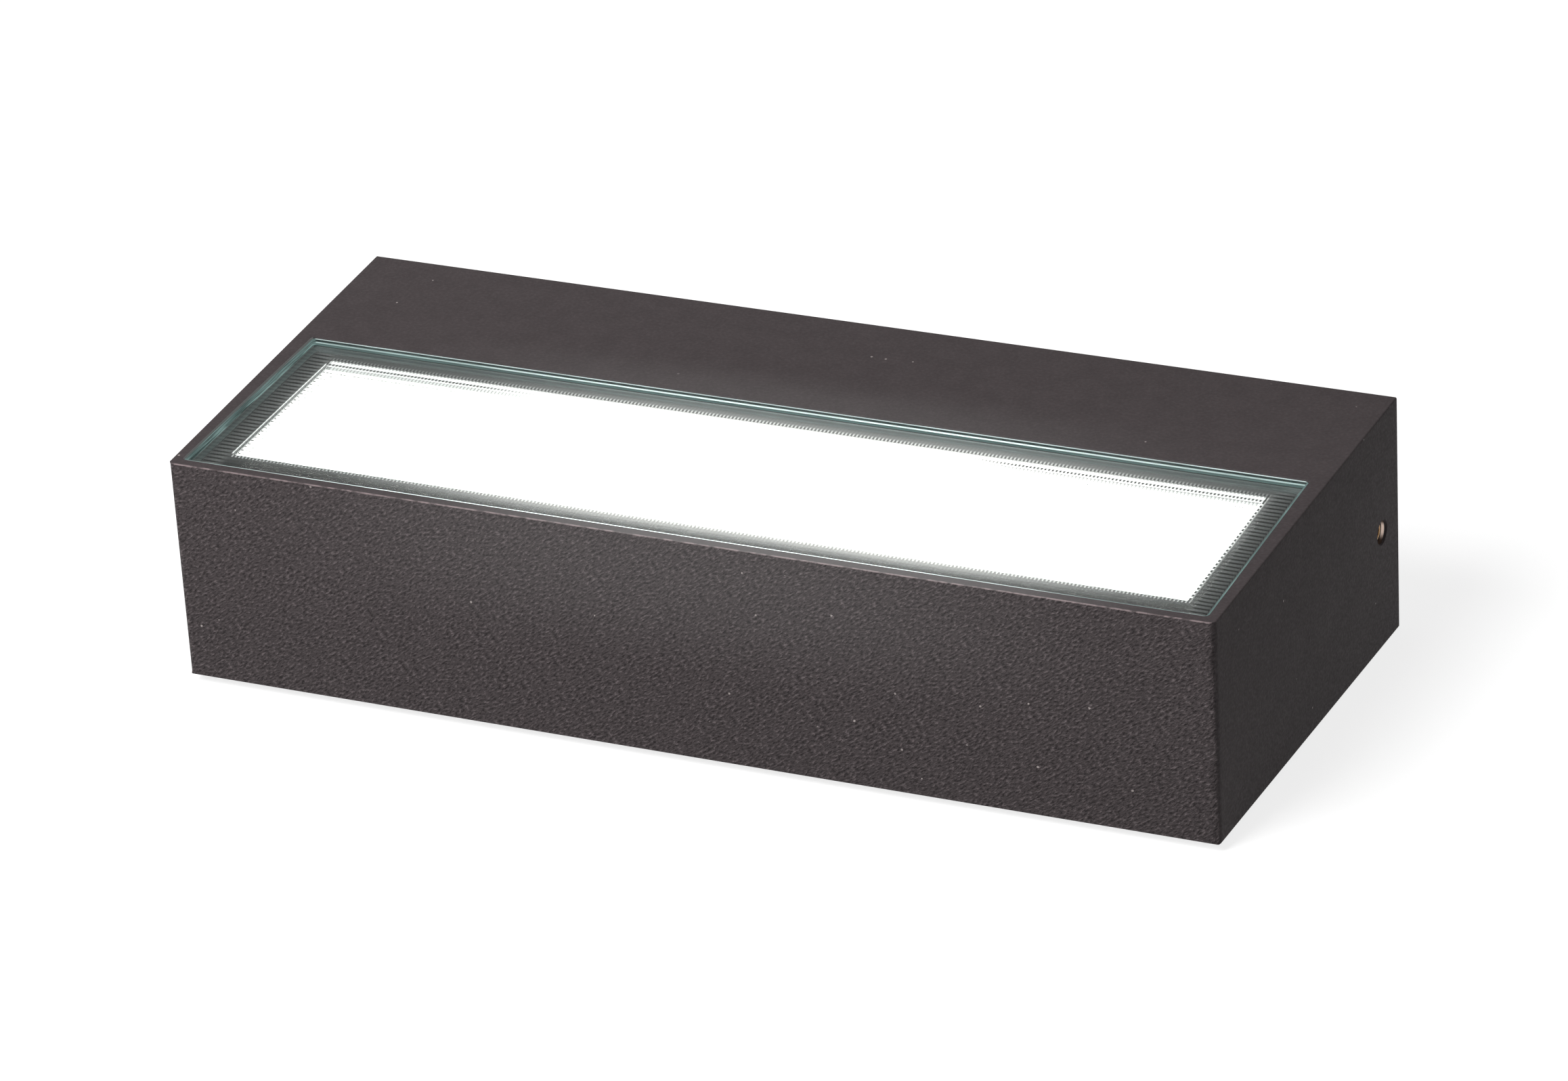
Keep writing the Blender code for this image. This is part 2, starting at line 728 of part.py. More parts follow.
def tray_bosses():
    """Six screw bosses for the tray, along the top and bottom walls."""
    for x in (-BOSS_X, 0.0, BOSS_X):
        yield rod(f"upper boss {x:.3f}", BOSS_RADIUS, (x, CHAMBER_Y - OVERRUN, BOSS_Z),
                  (x, BOSS_Y, BOSS_Z), LAMP, steps=SMALL_ROUND_STEPS)
        yield rod(f"lower boss {x:.3f}", BOSS_RADIUS, (x, BOSS_Y - BOSS_LENGTH, -BOSS_Z),
                  (x, BOSS_Y, -BOSS_Z), LAMP, steps=SMALL_ROUND_STEPS)


def tray_boss_places():
    return [(x, z) for x in (-BOSS_X, 0.0, BOSS_X) for z in (-BOSS_Z, BOSS_Z)]


def board_screw_places():
    return [(share * BOARD_LENGTH / 2, WINDOW_SHIFT) for share in BOARD_SCREW_SHARES]


def floor_bosses():
    """Bosses under the chamber floor that take the board screws."""
    under = FLOOR_TOP - FLOOR_WALL - FLOOR_BOSS_HEIGHT
    for number, (x, y) in enumerate(board_screw_places()):
        yield rod(f"floor boss {number + 1}", FLOOR_BOSS_RADIUS, (x, y, under),
                  (x, y, FLOOR_TOP - OVERRUN), LIGHT, steps=SMALL_ROUND_STEPS)


def side_screw_hole(side):
    """Hole through an end with a lead-in at its mouth."""
    radius = SIDE_SCREW_RADIUS + SCREW_CLEARANCE
    depth = WALL + OVERRUN
    profile = [
        (0.0, SIDE_LEAD_IN),
        (radius + 2 * SIDE_LEAD_IN, SIDE_LEAD_IN),
        (radius, -SIDE_LEAD_IN),
        (radius, -depth),
        (0.0, -depth),
    ]
    hole = turned(f"side hole {side}", profile, LAMP)
    hole.location = (side * half_length_at(SIDE_SCREW_Y), SIDE_SCREW_Y, 0.0)
    hole.rotation_euler = (0.0, side * math.radians(90), 0.0)
    return hole


def make_housing():
    body = housing_body()
    core = rear_core()
    round_upright_edges(core, CORE_RADIUS, "Y", 2)
    cut(body, core, rim_step())
    fuse(body, *fins(), *tray_bosses(), *floor_bosses())
    cut(
        body,
        top_core("glass seat core", OPENING_LENGTH, OPENING_WIDTH, 0.0, GLASS_LEDGE),
        top_core("cover seat core", COVER_OPENING_LENGTH, COVER_OPENING_WIDTH, 0.0, COVER_LEDGE),
        top_core("light chamber core", POCKET_LENGTH, POCKET_WIDTH, WINDOW_SHIFT, FLOOR_TOP),
    )
    for number, (x, y) in enumerate(board_screw_places()):
        depth = M3_BOARD_LENGTH + SEAT_GAP
        cut(body, rod(f"board screw hole {number + 1}", M3_SHANK_RADIUS + SCREW_CLEARANCE,
                      (x, y, FLOOR_TOP - depth), (x, y, FLOOR_TOP + OVERRUN), LIGHT,
                      steps=SMALL_ROUND_STEPS))
    for number, (x, z) in enumerate(tray_boss_places()):
        cut(body, rod(f"tray screw hole {number + 1}", M3_SHANK_RADIUS + SCREW_CLEARANCE,
                      (x, BOSS_Y - BOSS_HOLE_DEPTH, z), (x, BOSS_Y + OVERRUN, z), LAMP,
                      steps=SMALL_ROUND_STEPS))
    cut(body, rod("lead hole", LED_HOLE_RADIUS, (LED_HOLE_X, WINDOW_SHIFT, FLOOR_TOP - 3 * FLOOR_WALL),
                  (LED_HOLE_X, WINDOW_SHIFT, FLOOR_TOP + OVERRUN), LIGHT))
    for side in (-1, 1):
        cut(body, side_screw_hole(side))
    coat = make_material("anthracite_powder_coat", (0.068, 0.058, 0.060), 0.55, 0.1)
    body.data.materials.append(coat)


def make_wall_seal():
    """Foam cord round the rear rim, from the step to the wall."""
    reach = WALL - SEAL_STEP + SEAT_GAP
    half_length = HOUSING_LENGTH / 2 - reach
    half_height = HOUSING_HEIGHT / 2 - reach
    front_y = BACK_Y - SEAL_STEP + SEAT_GAP
    seal = block("wall_seal", (-half_length, front_y, -half_height),
                 (half_length, 0.0, half_height), LAMP)
    width = SEAL_STEP - SEAT_GAP
    cut(seal, block("wall seal hole", (width - half_length, front_y - OVERRUN, width - half_height),
                    (half_length - width, OVERRUN, half_height - width), LAMP))
    seal.data.materials.append(make_material("black_foam", (0.012, 0.012, 0.013), 0.95))


# Glass and the sheets under it

def make_glass():
    glass = block(
        "glass_pane",
        (-GLASS_LENGTH / 2, -GLASS_WIDTH / 2, GLASS_BOTTOM),
        (GLASS_LENGTH / 2, GLASS_WIDTH / 2, -GLASS_DROP),
        LIGHT,
    )
    round_upright_edges(glass, GLASS_CORNER, "Z", 2)
    round_edges(glass, GLASS_CHAMFER, 1, 60)
    glass.data.materials.append(make_material("tempered_glass", (0.75, 0.86, 0.84), 0.05))


def frame_ring(name, outer, inner, bottom, top, shift):
    """Flat rectangular ring square to the top face."""
    ring = block(name, (-outer[0] / 2, shift - outer[1] / 2, bottom),
                 (outer[0] / 2, shift + outer[1] / 2, top), LIGHT)
    round_upright_edges(ring, GLASS_CORNER, "Z", 2)
    hole = block(f"{name} hole", (-inner[0] / 2, shift - inner[1] / 2, bottom - OVERRUN),
                 (inner[0] / 2, shift + inner[1] / 2, top + OVERRUN), LIGHT)
    cut(ring, hole)
    return ring


def make_glass_seal():
    outer = (GLASS_LENGTH, GLASS_WIDTH)
    inner = (COVER_OPENING_LENGTH, COVER_OPENING_WIDTH)
    seal = frame_ring("glass_seal", outer, inner, SEAL_TOP - SEAL_THICKNESS, SEAL_TOP, 0.0)
    seal.data.materials.append(make_material("black_silicone", (0.010, 0.010, 0.011), 0.6))


def rib_outline():
    """End view of the ribbed sheet: flat below, a row of prisms on top."""
    half = COVER_WIDTH / 2
    count = int((COVER_WIDTH - 2 * COVER_MARGIN) / RIB_PITCH)
    start = -count * RIB_PITCH / 2
    valley = COVER_TOP - RIB_HEIGHT
    points = [(-half, COVER_BOTTOM), (half, COVER_BOTTOM), (half, valley)]
    for number in range(count, 0, -1):
        points.append((start + number * RIB_PITCH, valley))
        points.append((start + (number - 0.5) * RIB_PITCH, COVER_TOP))
    points.append((start, valley))
    points.append((-half, valley))
    return points


def make_prismatic_cover():
    """Clear sheet with prisms along its whole length."""
    cover = plate("prismatic_cover", rib_outline(), COVER_LENGTH, SIDE_VIEW, (0.0, 0.0, 0.0), LIGHT)
    cover.data.materials.append(make_material("prismatic_sheet", (0.80, 0.82, 0.80), 0.15))


def make_opal_panel():
    panel = block(
        "opal_panel",
        (-WINDOW_LENGTH / 2, WINDOW_SHIFT - WINDOW_WIDTH / 2, PANEL_BOTTOM),
        (WINDOW_LENGTH / 2, WINDOW_SHIFT + WINDOW_WIDTH / 2, PANEL_TOP),
        LIGHT,
    )
    panel.data.materials.append(make_material("opal_acrylic", (1.0, 1.0, 1.0), 0.4, glow=4.0))


def make_reflector_frame():
    """White frame with flared inner walls, from the chamber floor to the opal sheet."""
    frame = block(
        "reflector_frame",
        (-WINDOW_LENGTH / 2, WINDOW_SHIFT - WINDOW_WIDTH / 2, BOARD_BOTTOM),
        (WINDOW_LENGTH / 2, WINDOW_SHIFT + WINDOW_WIDTH / 2, FRAME_TOP),
        LIGHT,
    )
    straight = block(
        "board recess",
        (-FRAME_HOLE_LENGTH / 2, WINDOW_SHIFT - FRAME_HOLE_WIDTH / 2, BOARD_BOTTOM - OVERRUN),
        (FRAME_HOLE_LENGTH / 2, WINDOW_SHIFT + FRAME_HOLE_WIDTH / 2, BOARD_TOP + OVERRUN),
        LIGHT,
    )
    flare = flared_block(
        "reflector flare",
        (BOARD_TOP, FRAME_HOLE_LENGTH, FRAME_HOLE_WIDTH),
        (FRAME_TOP, WINDOW_LENGTH - 2 * FRAME_RIM, WINDOW_WIDTH - 2 * FRAME_RIM),
        WINDOW_SHIFT,
        LIGHT,
    )
    lift = block(
        "reflector mouth",
        (FRAME_RIM - WINDOW_LENGTH / 2, WINDOW_SHIFT + FRAME_RIM - WINDOW_WIDTH / 2, FRAME_TOP - SEAT_GAP),
        (WINDOW_LENGTH / 2 - FRAME_RIM, WINDOW_SHIFT + WINDOW_WIDTH / 2 - FRAME_RIM, FRAME_TOP + OVERRUN),
        LIGHT,
    )
    cut(frame, straight, flare, lift)
    frame.data.materials.append(make_material("white_polycarbonate", (0.86, 0.86, 0.84), 0.35))


# Light source

def make_led_board():
    """Aluminium-core board with its light-emitting chips in two rows."""
    board = block(
        "led_board",
        (-BOARD_LENGTH / 2, WINDOW_SHIFT - BOARD_WIDTH / 2, BOARD_BOTTOM),
        (BOARD_LENGTH / 2, WINDOW_SHIFT + BOARD_WIDTH / 2, BOARD_TOP),
        LIGHT,
    )
    for number, (x, y) in enumerate(board_screw_places()):
        cut(board, rod(f"board hole {number + 1}", M3_SHANK_RADIUS + SCREW_CLEARANCE,
                       (x, y, BOARD_BOTTOM - OVERRUN), (x, y, BOARD_TOP + OVERRUN), LIGHT,
                       steps=SMALL_ROUND_STEPS))
    cut(board, rod("board lead hole", LED_HOLE_RADIUS + GROMMET_FLANGE,
                   (LED_HOLE_X, WINDOW_SHIFT, BOARD_BOTTOM - OVERRUN),
                   (LED_HOLE_X, WINDOW_SHIFT, BOARD_TOP + OVERRUN), LIGHT))
    chip = (CHIP_SIZE, CHIP_SIZE, 2 * CHIP_HEIGHT)
    fuse(board, block_pattern("led chips", chip, chip_places(), LIGHT))
    board.data.materials.append(make_material("white_solder_mask", (0.80, 0.81, 0.80), 0.4))


def chip_places():
    """Feet of the chips, half sunk so that each is one with the board."""
    places = []
    for column in range(CHIP_COLUMNS):
        x = (column - (CHIP_COLUMNS - 1) / 2) * CHIP_PITCH
        for row in (-1, 1):
            places.append((x, WINDOW_SHIFT + row * CHIP_ROW_SPACING / 2, BOARD_TOP - CHIP_HEIGHT))
    return places


def make_board_screws():
    for number, (x, y) in enumerate(board_screw_places(), 1):
        screw = pan_head(f"led_board_screw_{number}", M3_HEAD_RADIUS, M3_HEAD_HEIGHT,
                         M3_SHANK_RADIUS, M3_BOARD_LENGTH)
        place_piece(screw, Matrix.Translation((x, y, BOARD_TOP + SEAT_GAP)), LIGHT, ZINC)


def make_led_connector():
    """Two-pole wire socket on the board."""
    low = (CONNECTOR_X, WINDOW_SHIFT - CONNECTOR_WIDTH / 2, BOARD_TOP + SEAT_GAP)
    high = (CONNECTOR_X + CONNECTOR_LENGTH, WINDOW_SHIFT + CONNECTOR_WIDTH / 2,
            BOARD_TOP + SEAT_GAP + CONNECTOR_HEIGHT)
    connector = block("led_connector", low, high, LIGHT)
    axis_z = BOARD_TOP + SEAT_GAP + CONNECTOR_HEIGHT / 2
    for side in (-1, 1):
        y = WINDOW_SHIFT + side * LED_LEAD_SPACING / 2
        cut(connector, rod(f"connector socket {side}", LED_LEAD_RADIUS + SEAT_GAP,
                           (CONNECTOR_X - OVERRUN, y, axis_z),
                           (CONNECTOR_X + CONNECTOR_LENGTH / 2, y, axis_z), LIGHT,
                           steps=SMALL_ROUND_STEPS))
    connector.data.materials.append(make_material("white_nylon", (0.82, 0.81, 0.76), 0.45))


def make_led_grommet():
    """Rubber bush in the chamber floor."""
    hole = LED_HOLE_RADIUS - SEAT_GAP
    flange = LED_HOLE_RADIUS + GROMMET_FLANGE - SEAT_GAP
    top = BOARD_BOTTOM + GROMMET_LIP
    bottom = FLOOR_TOP - FLOOR_WALL
    profile = [
        (flange, top),
        (flange, BOARD_BOTTOM),
        (hole, BOARD_BOTTOM),
        (hole, bottom),
        (LED_GROMMET_BORE, bottom),
        (LED_GROMMET_BORE, top),
    ]
    grommet = turned("led_grommet", profile, LIGHT, closed=True)
    grommet.location = (LED_HOLE_X, WINDOW_SHIFT, 0.0)
    grommet.data.materials.append(make_material("black_rubber_small", (0.012, 0.012, 0.012), 0.7))


def light_point(x, y, z):
    """A place in the light chamber, given in the object's own frame."""
    turn = Matrix.Rotation(TOP_TILT, 4, "X")
    return Vector((0.0, OPENING_Y, OPENING_Z)) + turn @ Vector((x, y, z))


def make_led_leads():
    """Two thin leads from the driver's end, under the floor and up to the socket."""
    start_x = DRIVER_X - DRIVER_LENGTH / 2 - SEAT_GAP
    entry_y = DRIVER_REAR_Y - LEAD_ENTRY_DEPTH - LEAD_STEP
    entry_z = DRIVER_Z - LEAD_ENTRY_DROP
    run_z = FLOOR_UNDER_Z - FLOOR_BOSS_HEIGHT - FIN_HEIGHT / 2
    axis_z = BOARD_TOP + SEAT_GAP + CONNECTOR_HEIGHT / 2
    end_x = CONNECTOR_X + CONNECTOR_LENGTH / 2 - SEAT_GAP
    hole_y = light_point(LED_HOLE_X, WINDOW_SHIFT, FLOOR_TOP).y
    step = LEAD_STEP
    leads = (("led_lead_red", 1, (0.45, 0.02, 0.02)), ("led_lead_black", -1, (0.01, 0.01, 0.01)))
    for name, side, colour in leads:
        offset = side * LED_LEAD_SPACING / 2
        route = [
            (start_x, entry_y + offset, entry_z),
            (start_x - 3 * step, entry_y + offset, entry_z),
            (start_x - 8.5 * step - offset, entry_y - 5.5 * step, entry_z - step),
            (start_x - 10 * step - offset, entry_y - 17.5 * step, entry_z - 2 * step),
            (start_x - 4 * step - offset, hole_y + 9 * step - offset, run_z),
            (LED_HOLE_X - 2 * step, hole_y - offset, run_z + 1.5 * step),
            (LED_HOLE_X, hole_y - offset, run_z + 6 * step),
            light_point(LED_HOLE_X, WINDOW_SHIFT - offset, FLOOR_TOP - FLOOR_WALL / 2),
            light_point(LED_HOLE_X, WINDOW_SHIFT - offset, BOARD_TOP - 0.6 * step),
            light_point(LED_HOLE_X + 1.2 * step, WINDOW_SHIFT - offset, axis_z - 0.6 * step),
            light_point(CONNECTOR_X - 3 * step, WINDOW_SHIFT - offset, axis_z),
            light_point(end_x, WINDOW_SHIFT - offset, axis_z),
        ]
        wire = lead(name, route, LED_LEAD_RADIUS, LAMP)
        wire.data.materials.append(make_material(f"{name}_sleeve", colour, 0.4))


# Wall bracket

def make_bracket():
    """Steel strip bent up at both ends, with open notches for the set screws."""
    bm = bmesh.new()
    half_height = BRACKET_HEIGHT / 2
    path = [
        (-EAR_OUTER_X, -EAR_REACH),
        (-EAR_OUTER_X, 0.0),
        (EAR_OUTER_X, 0.0),
        (EAR_OUTER_X, -EAR_REACH),
    ]
    rows = [[bm.verts.new((x, y, z)) for x, y in path] for z in (-half_height, half_height)]
    for low_pair, high_pair in zip(zip(rows[0], rows[0][1:]), zip(rows[1], rows[1][1:])):
        bm.faces.new((low_pair[0], low_pair[1], high_pair[1], high_pair[0]))
    bracket = add_object("wall_bracket", mesh_from("wall_bracket", bm))
    round_upright_edges(bracket, BRACKET_BEND, "Z", CORNER_STEPS)
    sheet = bracket.modifiers.new("sheet", "SOLIDIFY")
    sheet.thickness = BRACKET_THICKNESS
    sheet.offset = 1.0
    sheet.use_even_offset = True
    return bracket


def cut_bracket(bracket):
    rest = BRACKET_HEIGHT / 2
    for side in (-1, 1):
        outer = side * (EAR_OUTER_X + OVERRUN)
        inner = side * (EAR_OUTER_X - BRACKET_THICKNESS - BRACKET_BEND)
        low_x, high_x = min(outer, inner), max(outer, inner)
        for end in (-1, 1):
            z_pair = sorted((end * EAR_HEIGHT / 2, end * (rest + OVERRUN)))
            cut(bracket, block(f"ear corner {side} {end}",
                               (low_x, -EAR_REACH - OVERRUN, z_pair[0]),
                               (high_x, -BRACKET_THICKNESS - BRACKET_BEND, z_pair[1])))
        notch = block(f"ear notch {side}", (low_x, -EAR_REACH - OVERRUN, -NOTCH_RADIUS),
                      (high_x, SIDE_SCREW_Y, NOTCH_RADIUS))
        seat = rod(f"ear notch seat {side}", NOTCH_RADIUS, (low_x, SIDE_SCREW_Y, 0.0),
                   (high_x, SIDE_SCREW_Y, 0.0))
        cut(bracket, notch, seat)
    upright = (math.radians(90), 0.0, 0.0)
    depth = BRACKET_THICKNESS + 2 * OVERRUN
    middle = -BRACKET_THICKNESS / 2
    level = slot_outline(WALL_SLOT_LENGTH, WALL_SLOT_WIDTH)
    plumb = [(-y, x) for x, y in level]
    for side in (-1, 1):
        cut(bracket, plate(f"level slot {side}", level, depth, upright,
                           (side * LEVEL_SLOT_X, middle, 0.0)))
        cut(bracket, plate(f"plumb slot {side}", plumb, depth, upright,
                           (side * PLUMB_SLOT_X, middle, 0.0)))
    cut(bracket, rod("cable hole", CABLE_HOLE_RADIUS, (CABLE_HOLE_X, -BRACKET_THICKNESS - OVERRUN, 0.0),
                     (CABLE_HOLE_X, OVERRUN, 0.0)))
    bracket.data.materials.append(make_material("zinc_plated_steel", (0.55, 0.56, 0.57), 0.35, 1.0))


def make_bracket_grommet():
    """Bush in the cable hole, flush at the wall and with its flange on the front."""
    sleeve = CABLE_HOLE_RADIUS - SEAT_GAP
    flange = CABLE_HOLE_RADIUS + CABLE_GROMMET_FLANGE
    front = BRACKET_THICKNESS + SEAT_GAP
    profile = [
        (flange, front + GROMMET_LIP),
        (flange, front),
        (sleeve, front),
        (sleeve, SEAT_GAP),
        (CABLE_GROMMET_BORE, SEAT_GAP),
        (CABLE_GROMMET_BORE, front + GROMMET_LIP),
    ]
    grommet = turned("bracket_grommet", profile, closed=True, steps=ROUND_STEPS)
    grommet.rotation_euler = (math.radians(90), 0.0, 0.0)
    grommet.location = (CABLE_HOLE_X, 0.0, 0.0)
    grommet.data.materials.append(make_material("black_rubber", (0.014, 0.014, 0.015), 0.7))


# Side screws

def make_side_screw(name, side):
    """Set screw with a dog point; its origin is its outer end, on its own axis."""
    outer_x = half_length_at(SIDE_SCREW_Y) - SIDE_SCREW_SINK
    shoulder = outer_x - EAR_OUTER_X - SEAT_GAP
    tip = outer_x - EAR_INNER_X + SIDE_POINT_PASS
    profile = [
        (0.0, 0.0),
        (SIDE_SCREW_RADIUS - SIDE_POINT_CHAMFER, 0.0),
        (SIDE_SCREW_RADIUS, -SIDE_POINT_CHAMFER),
        (SIDE_SCREW_RADIUS, -shoulder),
        (SIDE_POINT_RADIUS, -shoulder),
        (SIDE_POINT_RADIUS, SIDE_POINT_CHAMFER - tip),
        (SIDE_POINT_RADIUS - SIDE_POINT_CHAMFER, -tip),
        (0.0, -tip),
    ]
    screw = turned(name, profile, LAMP)
    screw.location = (side * outer_x, SIDE_SCREW_Y, 0.0)
    screw.rotation_euler = (0.0, side * math.radians(90), 0.0)
    socket = rod(f"{name} socket", HEX_RADIUS, (0.0, 0.0, -HEX_DEPTH), (0.0, 0.0, OVERRUN), screw, steps=6)
    cut(screw, socket)
    screw.data.materials.append(make_material(f"nickel_{name}", (0.62, 0.55, 0.46), 0.25, 1.0))


# Tray and its screws

def make_tray():
    tray = block("gear_tray", (-TRAY_HALF_LENGTH, TRAY_FRONT_Y, -TRAY_HALF_HEIGHT),
                 (TRAY_HALF_LENGTH, TRAY_REAR_Y, TRAY_HALF_HEIGHT), LAMP)
    round_upright_edges(tray, TRAY_CORNER, "Y", CORNER_STEPS)
    fixing = [(TERMINAL_X + side * FIXING_X, TERMINAL_Z) for side in (-1, 1)]
    driver = [(DRIVER_X + side * DRIVER_SCREW_X, DRIVER_Z) for side in (-1, 1)]
    holes = [(place, M3_SHANK_RADIUS) for place in tray_boss_places() + driver]
    holes += [(place, M25_SHANK_RADIUS) for place in fixing]
    holes.append(((EARTH_X, EARTH_Z), M4_SHANK_RADIUS))
    holes.append(((TRAY_GROMMET_X, TRAY_GROMMET_Z), TRAY_HOLE_RADIUS - SCREW_CLEARANCE))
    for number, ((x, z), radius) in enumerate(holes):
        cut(tray, rod(f"tray hole {number + 1}", radius + SCREW_CLEARANCE,
                      (x, TRAY_FRONT_Y - OVERRUN, z), (x, TRAY_REAR_Y + OVERRUN, z), LAMP,
                      steps=SMALL_ROUND_STEPS))
    tray.data.materials.append(make_material("galvanised_sheet", (0.60, 0.61, 0.62), 0.4, 1.0))


def make_tray_screws():
    for number, (x, z) in enumerate(tray_boss_places(), 1):
        screw = pan_head(f"tray_screw_{number}", M3_HEAD_RADIUS, M3_HEAD_HEIGHT,
                         M3_SHANK_RADIUS, M3_TRAY_LENGTH)
        place_piece(screw, facing((0, 1, 0), (x, TRAY_REAR_Y + SEAT_GAP, z)), LAMP, ZINC)


def make_tray_grommet():
    """Grooved bush in the tray, for the two mains leads."""
    hole = TRAY_HOLE_RADIUS - SEAT_GAP
    flange = TRAY_HOLE_RADIUS + GROMMET_FLANGE
    front = TRAY_THICKNESS / 2 + SEAT_GAP
    profile = [
        (flange, front + GROMMET_LIP),
        (flange, front),
        (hole, front),
        (hole, -front),
        (flange, -front),
        (flange, -front - GROMMET_LIP),
        (TRAY_GROMMET_BORE, -front - GROMMET_LIP),
        (TRAY_GROMMET_BORE, front + GROMMET_LIP),
    ]
    grommet = turned("tray_grommet", profile, LAMP, closed=True)
    grommet.rotation_euler = (math.radians(90), 0.0, 0.0)
    grommet.location = (TRAY_GROMMET_X, (TRAY_REAR_Y + TRAY_FRONT_Y) / 2, TRAY_GROMMET_Z)
    grommet.data.materials.append(make_material("black_rubber_tray", (0.012, 0.012, 0.012), 0.7))


# Driver

def driver_block(name, inset, rear_y, front_y):
    """Box centred on the driver, inset from its sides, between two depths."""
    half_length = DRIVER_LENGTH / 2 - inset
    half_height = DRIVER_HEIGHT / 2 - inset
    return block(name, (DRIVER_X - half_length, front_y, DRIVER_Z - half_height),
                 (DRIVER_X + half_length, rear_y, DRIVER_Z + half_height), LAMP)


def make_driver_case():
    """Tray-shaped moulding, open at the front, with an ear at each end."""
    case = driver_block("driver_case", 0.0, DRIVER_REAR_Y, DRIVER_FRONT_Y + DRIVER_WALL + SEAT_GAP)
    round_upright_edges(case, DRIVER_CORNER, "Y", 2)
    hollow = driver_block("driver hollow", DRIVER_WALL, DRIVER_REAR_Y - DRIVER_WALL,
                          DRIVER_FRONT_Y - OVERRUN)
    cut(case, hollow)
    for side in (-1, 1):
        inner = DRIVER_X + side * (DRIVER_LENGTH / 2 - DRIVER_WALL / 2)
        outer = DRIVER_X + side * (DRIVER_LENGTH / 2 + DRIVER_EAR)
        ear = block(f"driver ear {side}",
                    (min(inner, outer), DRIVER_REAR_Y - DRIVER_WALL, DRIVER_Z - DRIVER_EAR_HEIGHT / 2),
                    (max(inner, outer), DRIVER_REAR_Y, DRIVER_Z + DRIVER_EAR_HEIGHT / 2), LAMP)
        fuse(case, ear)
    for share in DRIVER_POST_SHARES:
        x = DRIVER_X + share * DRIVER_LENGTH / 2
        post = rod(f"driver post {share}", DRIVER_POST_RADIUS, (x, DRIVER_BOARD_Y + SEAT_GAP, DRIVER_Z),
                   (x, DRIVER_REAR_Y - DRIVER_WALL / 2, DRIVER_Z), LAMP, steps=SMALL_ROUND_STEPS)
        fuse(case, post)
    for side in (-1, 1):
        x = DRIVER_X + side * DRIVER_SCREW_X
        cut(case, rod(f"driver ear hole {side}", M3_SHANK_RADIUS + SCREW_CLEARANCE,
                      (x, DRIVER_REAR_Y - DRIVER_WALL - OVERRUN, DRIVER_Z),
                      (x, DRIVER_REAR_Y + OVERRUN, DRIVER_Z), LAMP, steps=SMALL_ROUND_STEPS))
    case.data.materials.append(make_material("white_driver_case", (0.74, 0.74, 0.72), 0.5))


def make_driver_lid():
    """Flat lid with a lip that locates inside the case."""
    lid = driver_block("driver_lid", 0.0, DRIVER_FRONT_Y + DRIVER_WALL, DRIVER_FRONT_Y)
    round_upright_edges(lid, DRIVER_CORNER, "Y", 2)
    inset = DRIVER_WALL + SEAT_GAP
    under = DRIVER_FRONT_Y + DRIVER_WALL
    lip = driver_block("lid lip", inset, under + LID_LIP, under - DRIVER_WALL / 2)
    core = driver_block("lid lip core", inset + DRIVER_WALL, under + LID_LIP + OVERRUN, under)
    fuse(lid, lip)
    cut(lid, core)
    lid.data.materials.append(make_material("white_driver_lid", (0.78, 0.78, 0.76), 0.45))


def make_driver_board():
    inset = DRIVER_WALL + SEAT_GAP
    board = driver_block("driver_board", inset, DRIVER_BOARD_Y, DRIVER_BOARD_Y - BOARD_THICKNESS)
    board.data.materials.append(make_material("green_circuit_board", (0.03, 0.16, 0.07), 0.45))


def make_driver_transformer():
    """Ferrite core round a wound bobbin."""
    face_y = DRIVER_BOARD_Y - BOARD_THICKNESS - SEAT_GAP
    x = DRIVER_X + COIL_SHARE * DRIVER_LENGTH / 2
    half_length = COIL_LENGTH / 2
    half_height = COIL_HEIGHT / 2
    core = block("driver_transformer", (x - half_length, face_y - COIL_DEPTH, DRIVER_Z - half_height),
                 (x + half_length, face_y, DRIVER_Z + half_height), LAMP)
    for end in (-1, 1):
        z_pair = sorted((DRIVER_Z + end * (half_height + OVERRUN),
                         DRIVER_Z + end * (half_height - COIL_BOBBIN)))
        for side in (-1, 1):
            x_pair = sorted((x + side * half_length / 2, x + side * (half_length + OVERRUN)))
            cut(core, block(f"bobbin step {end} {side}",
                            (x_pair[0], face_y - COIL_DEPTH - OVERRUN, z_pair[0]),
                            (x_pair[1], face_y - COIL_BOBBIN, z_pair[1]), LAMP))
    core.data.materials.append(make_material("yellow_wound_coil", (0.60, 0.42, 0.06), 0.5))


def make_driver_capacitors():
    face_y = DRIVER_BOARD_Y - BOARD_THICKNESS - SEAT_GAP
    edge = CAPACITOR_RADIUS / 8
    profile = [
        (0.0, CAPACITOR_LENGTH),
        (CAPACITOR_RADIUS - edge, CAPACITOR_LENGTH),
        (CAPACITOR_RADIUS, CAPACITOR_LENGTH - edge),
        (CAPACITOR_RADIUS, 0.0),
        (0.0, 0.0),
    ]
    sleeve = make_material("black_capacitor_sleeve", (0.02, 0.02, 0.03), 0.35)
    for number, (along, up) in enumerate(CAPACITOR_SHARES, 1):
        x = DRIVER_X + along * DRIVER_LENGTH / 2
        z = DRIVER_Z + up * DRIVER_HEIGHT / 2
        capacitor = turned(f"driver_capacitor_{number}", profile, steps=SMALL_ROUND_STEPS)
        place_piece(capacitor, facing((0, -1, 0), (x, face_y, z)), LAMP, sleeve)


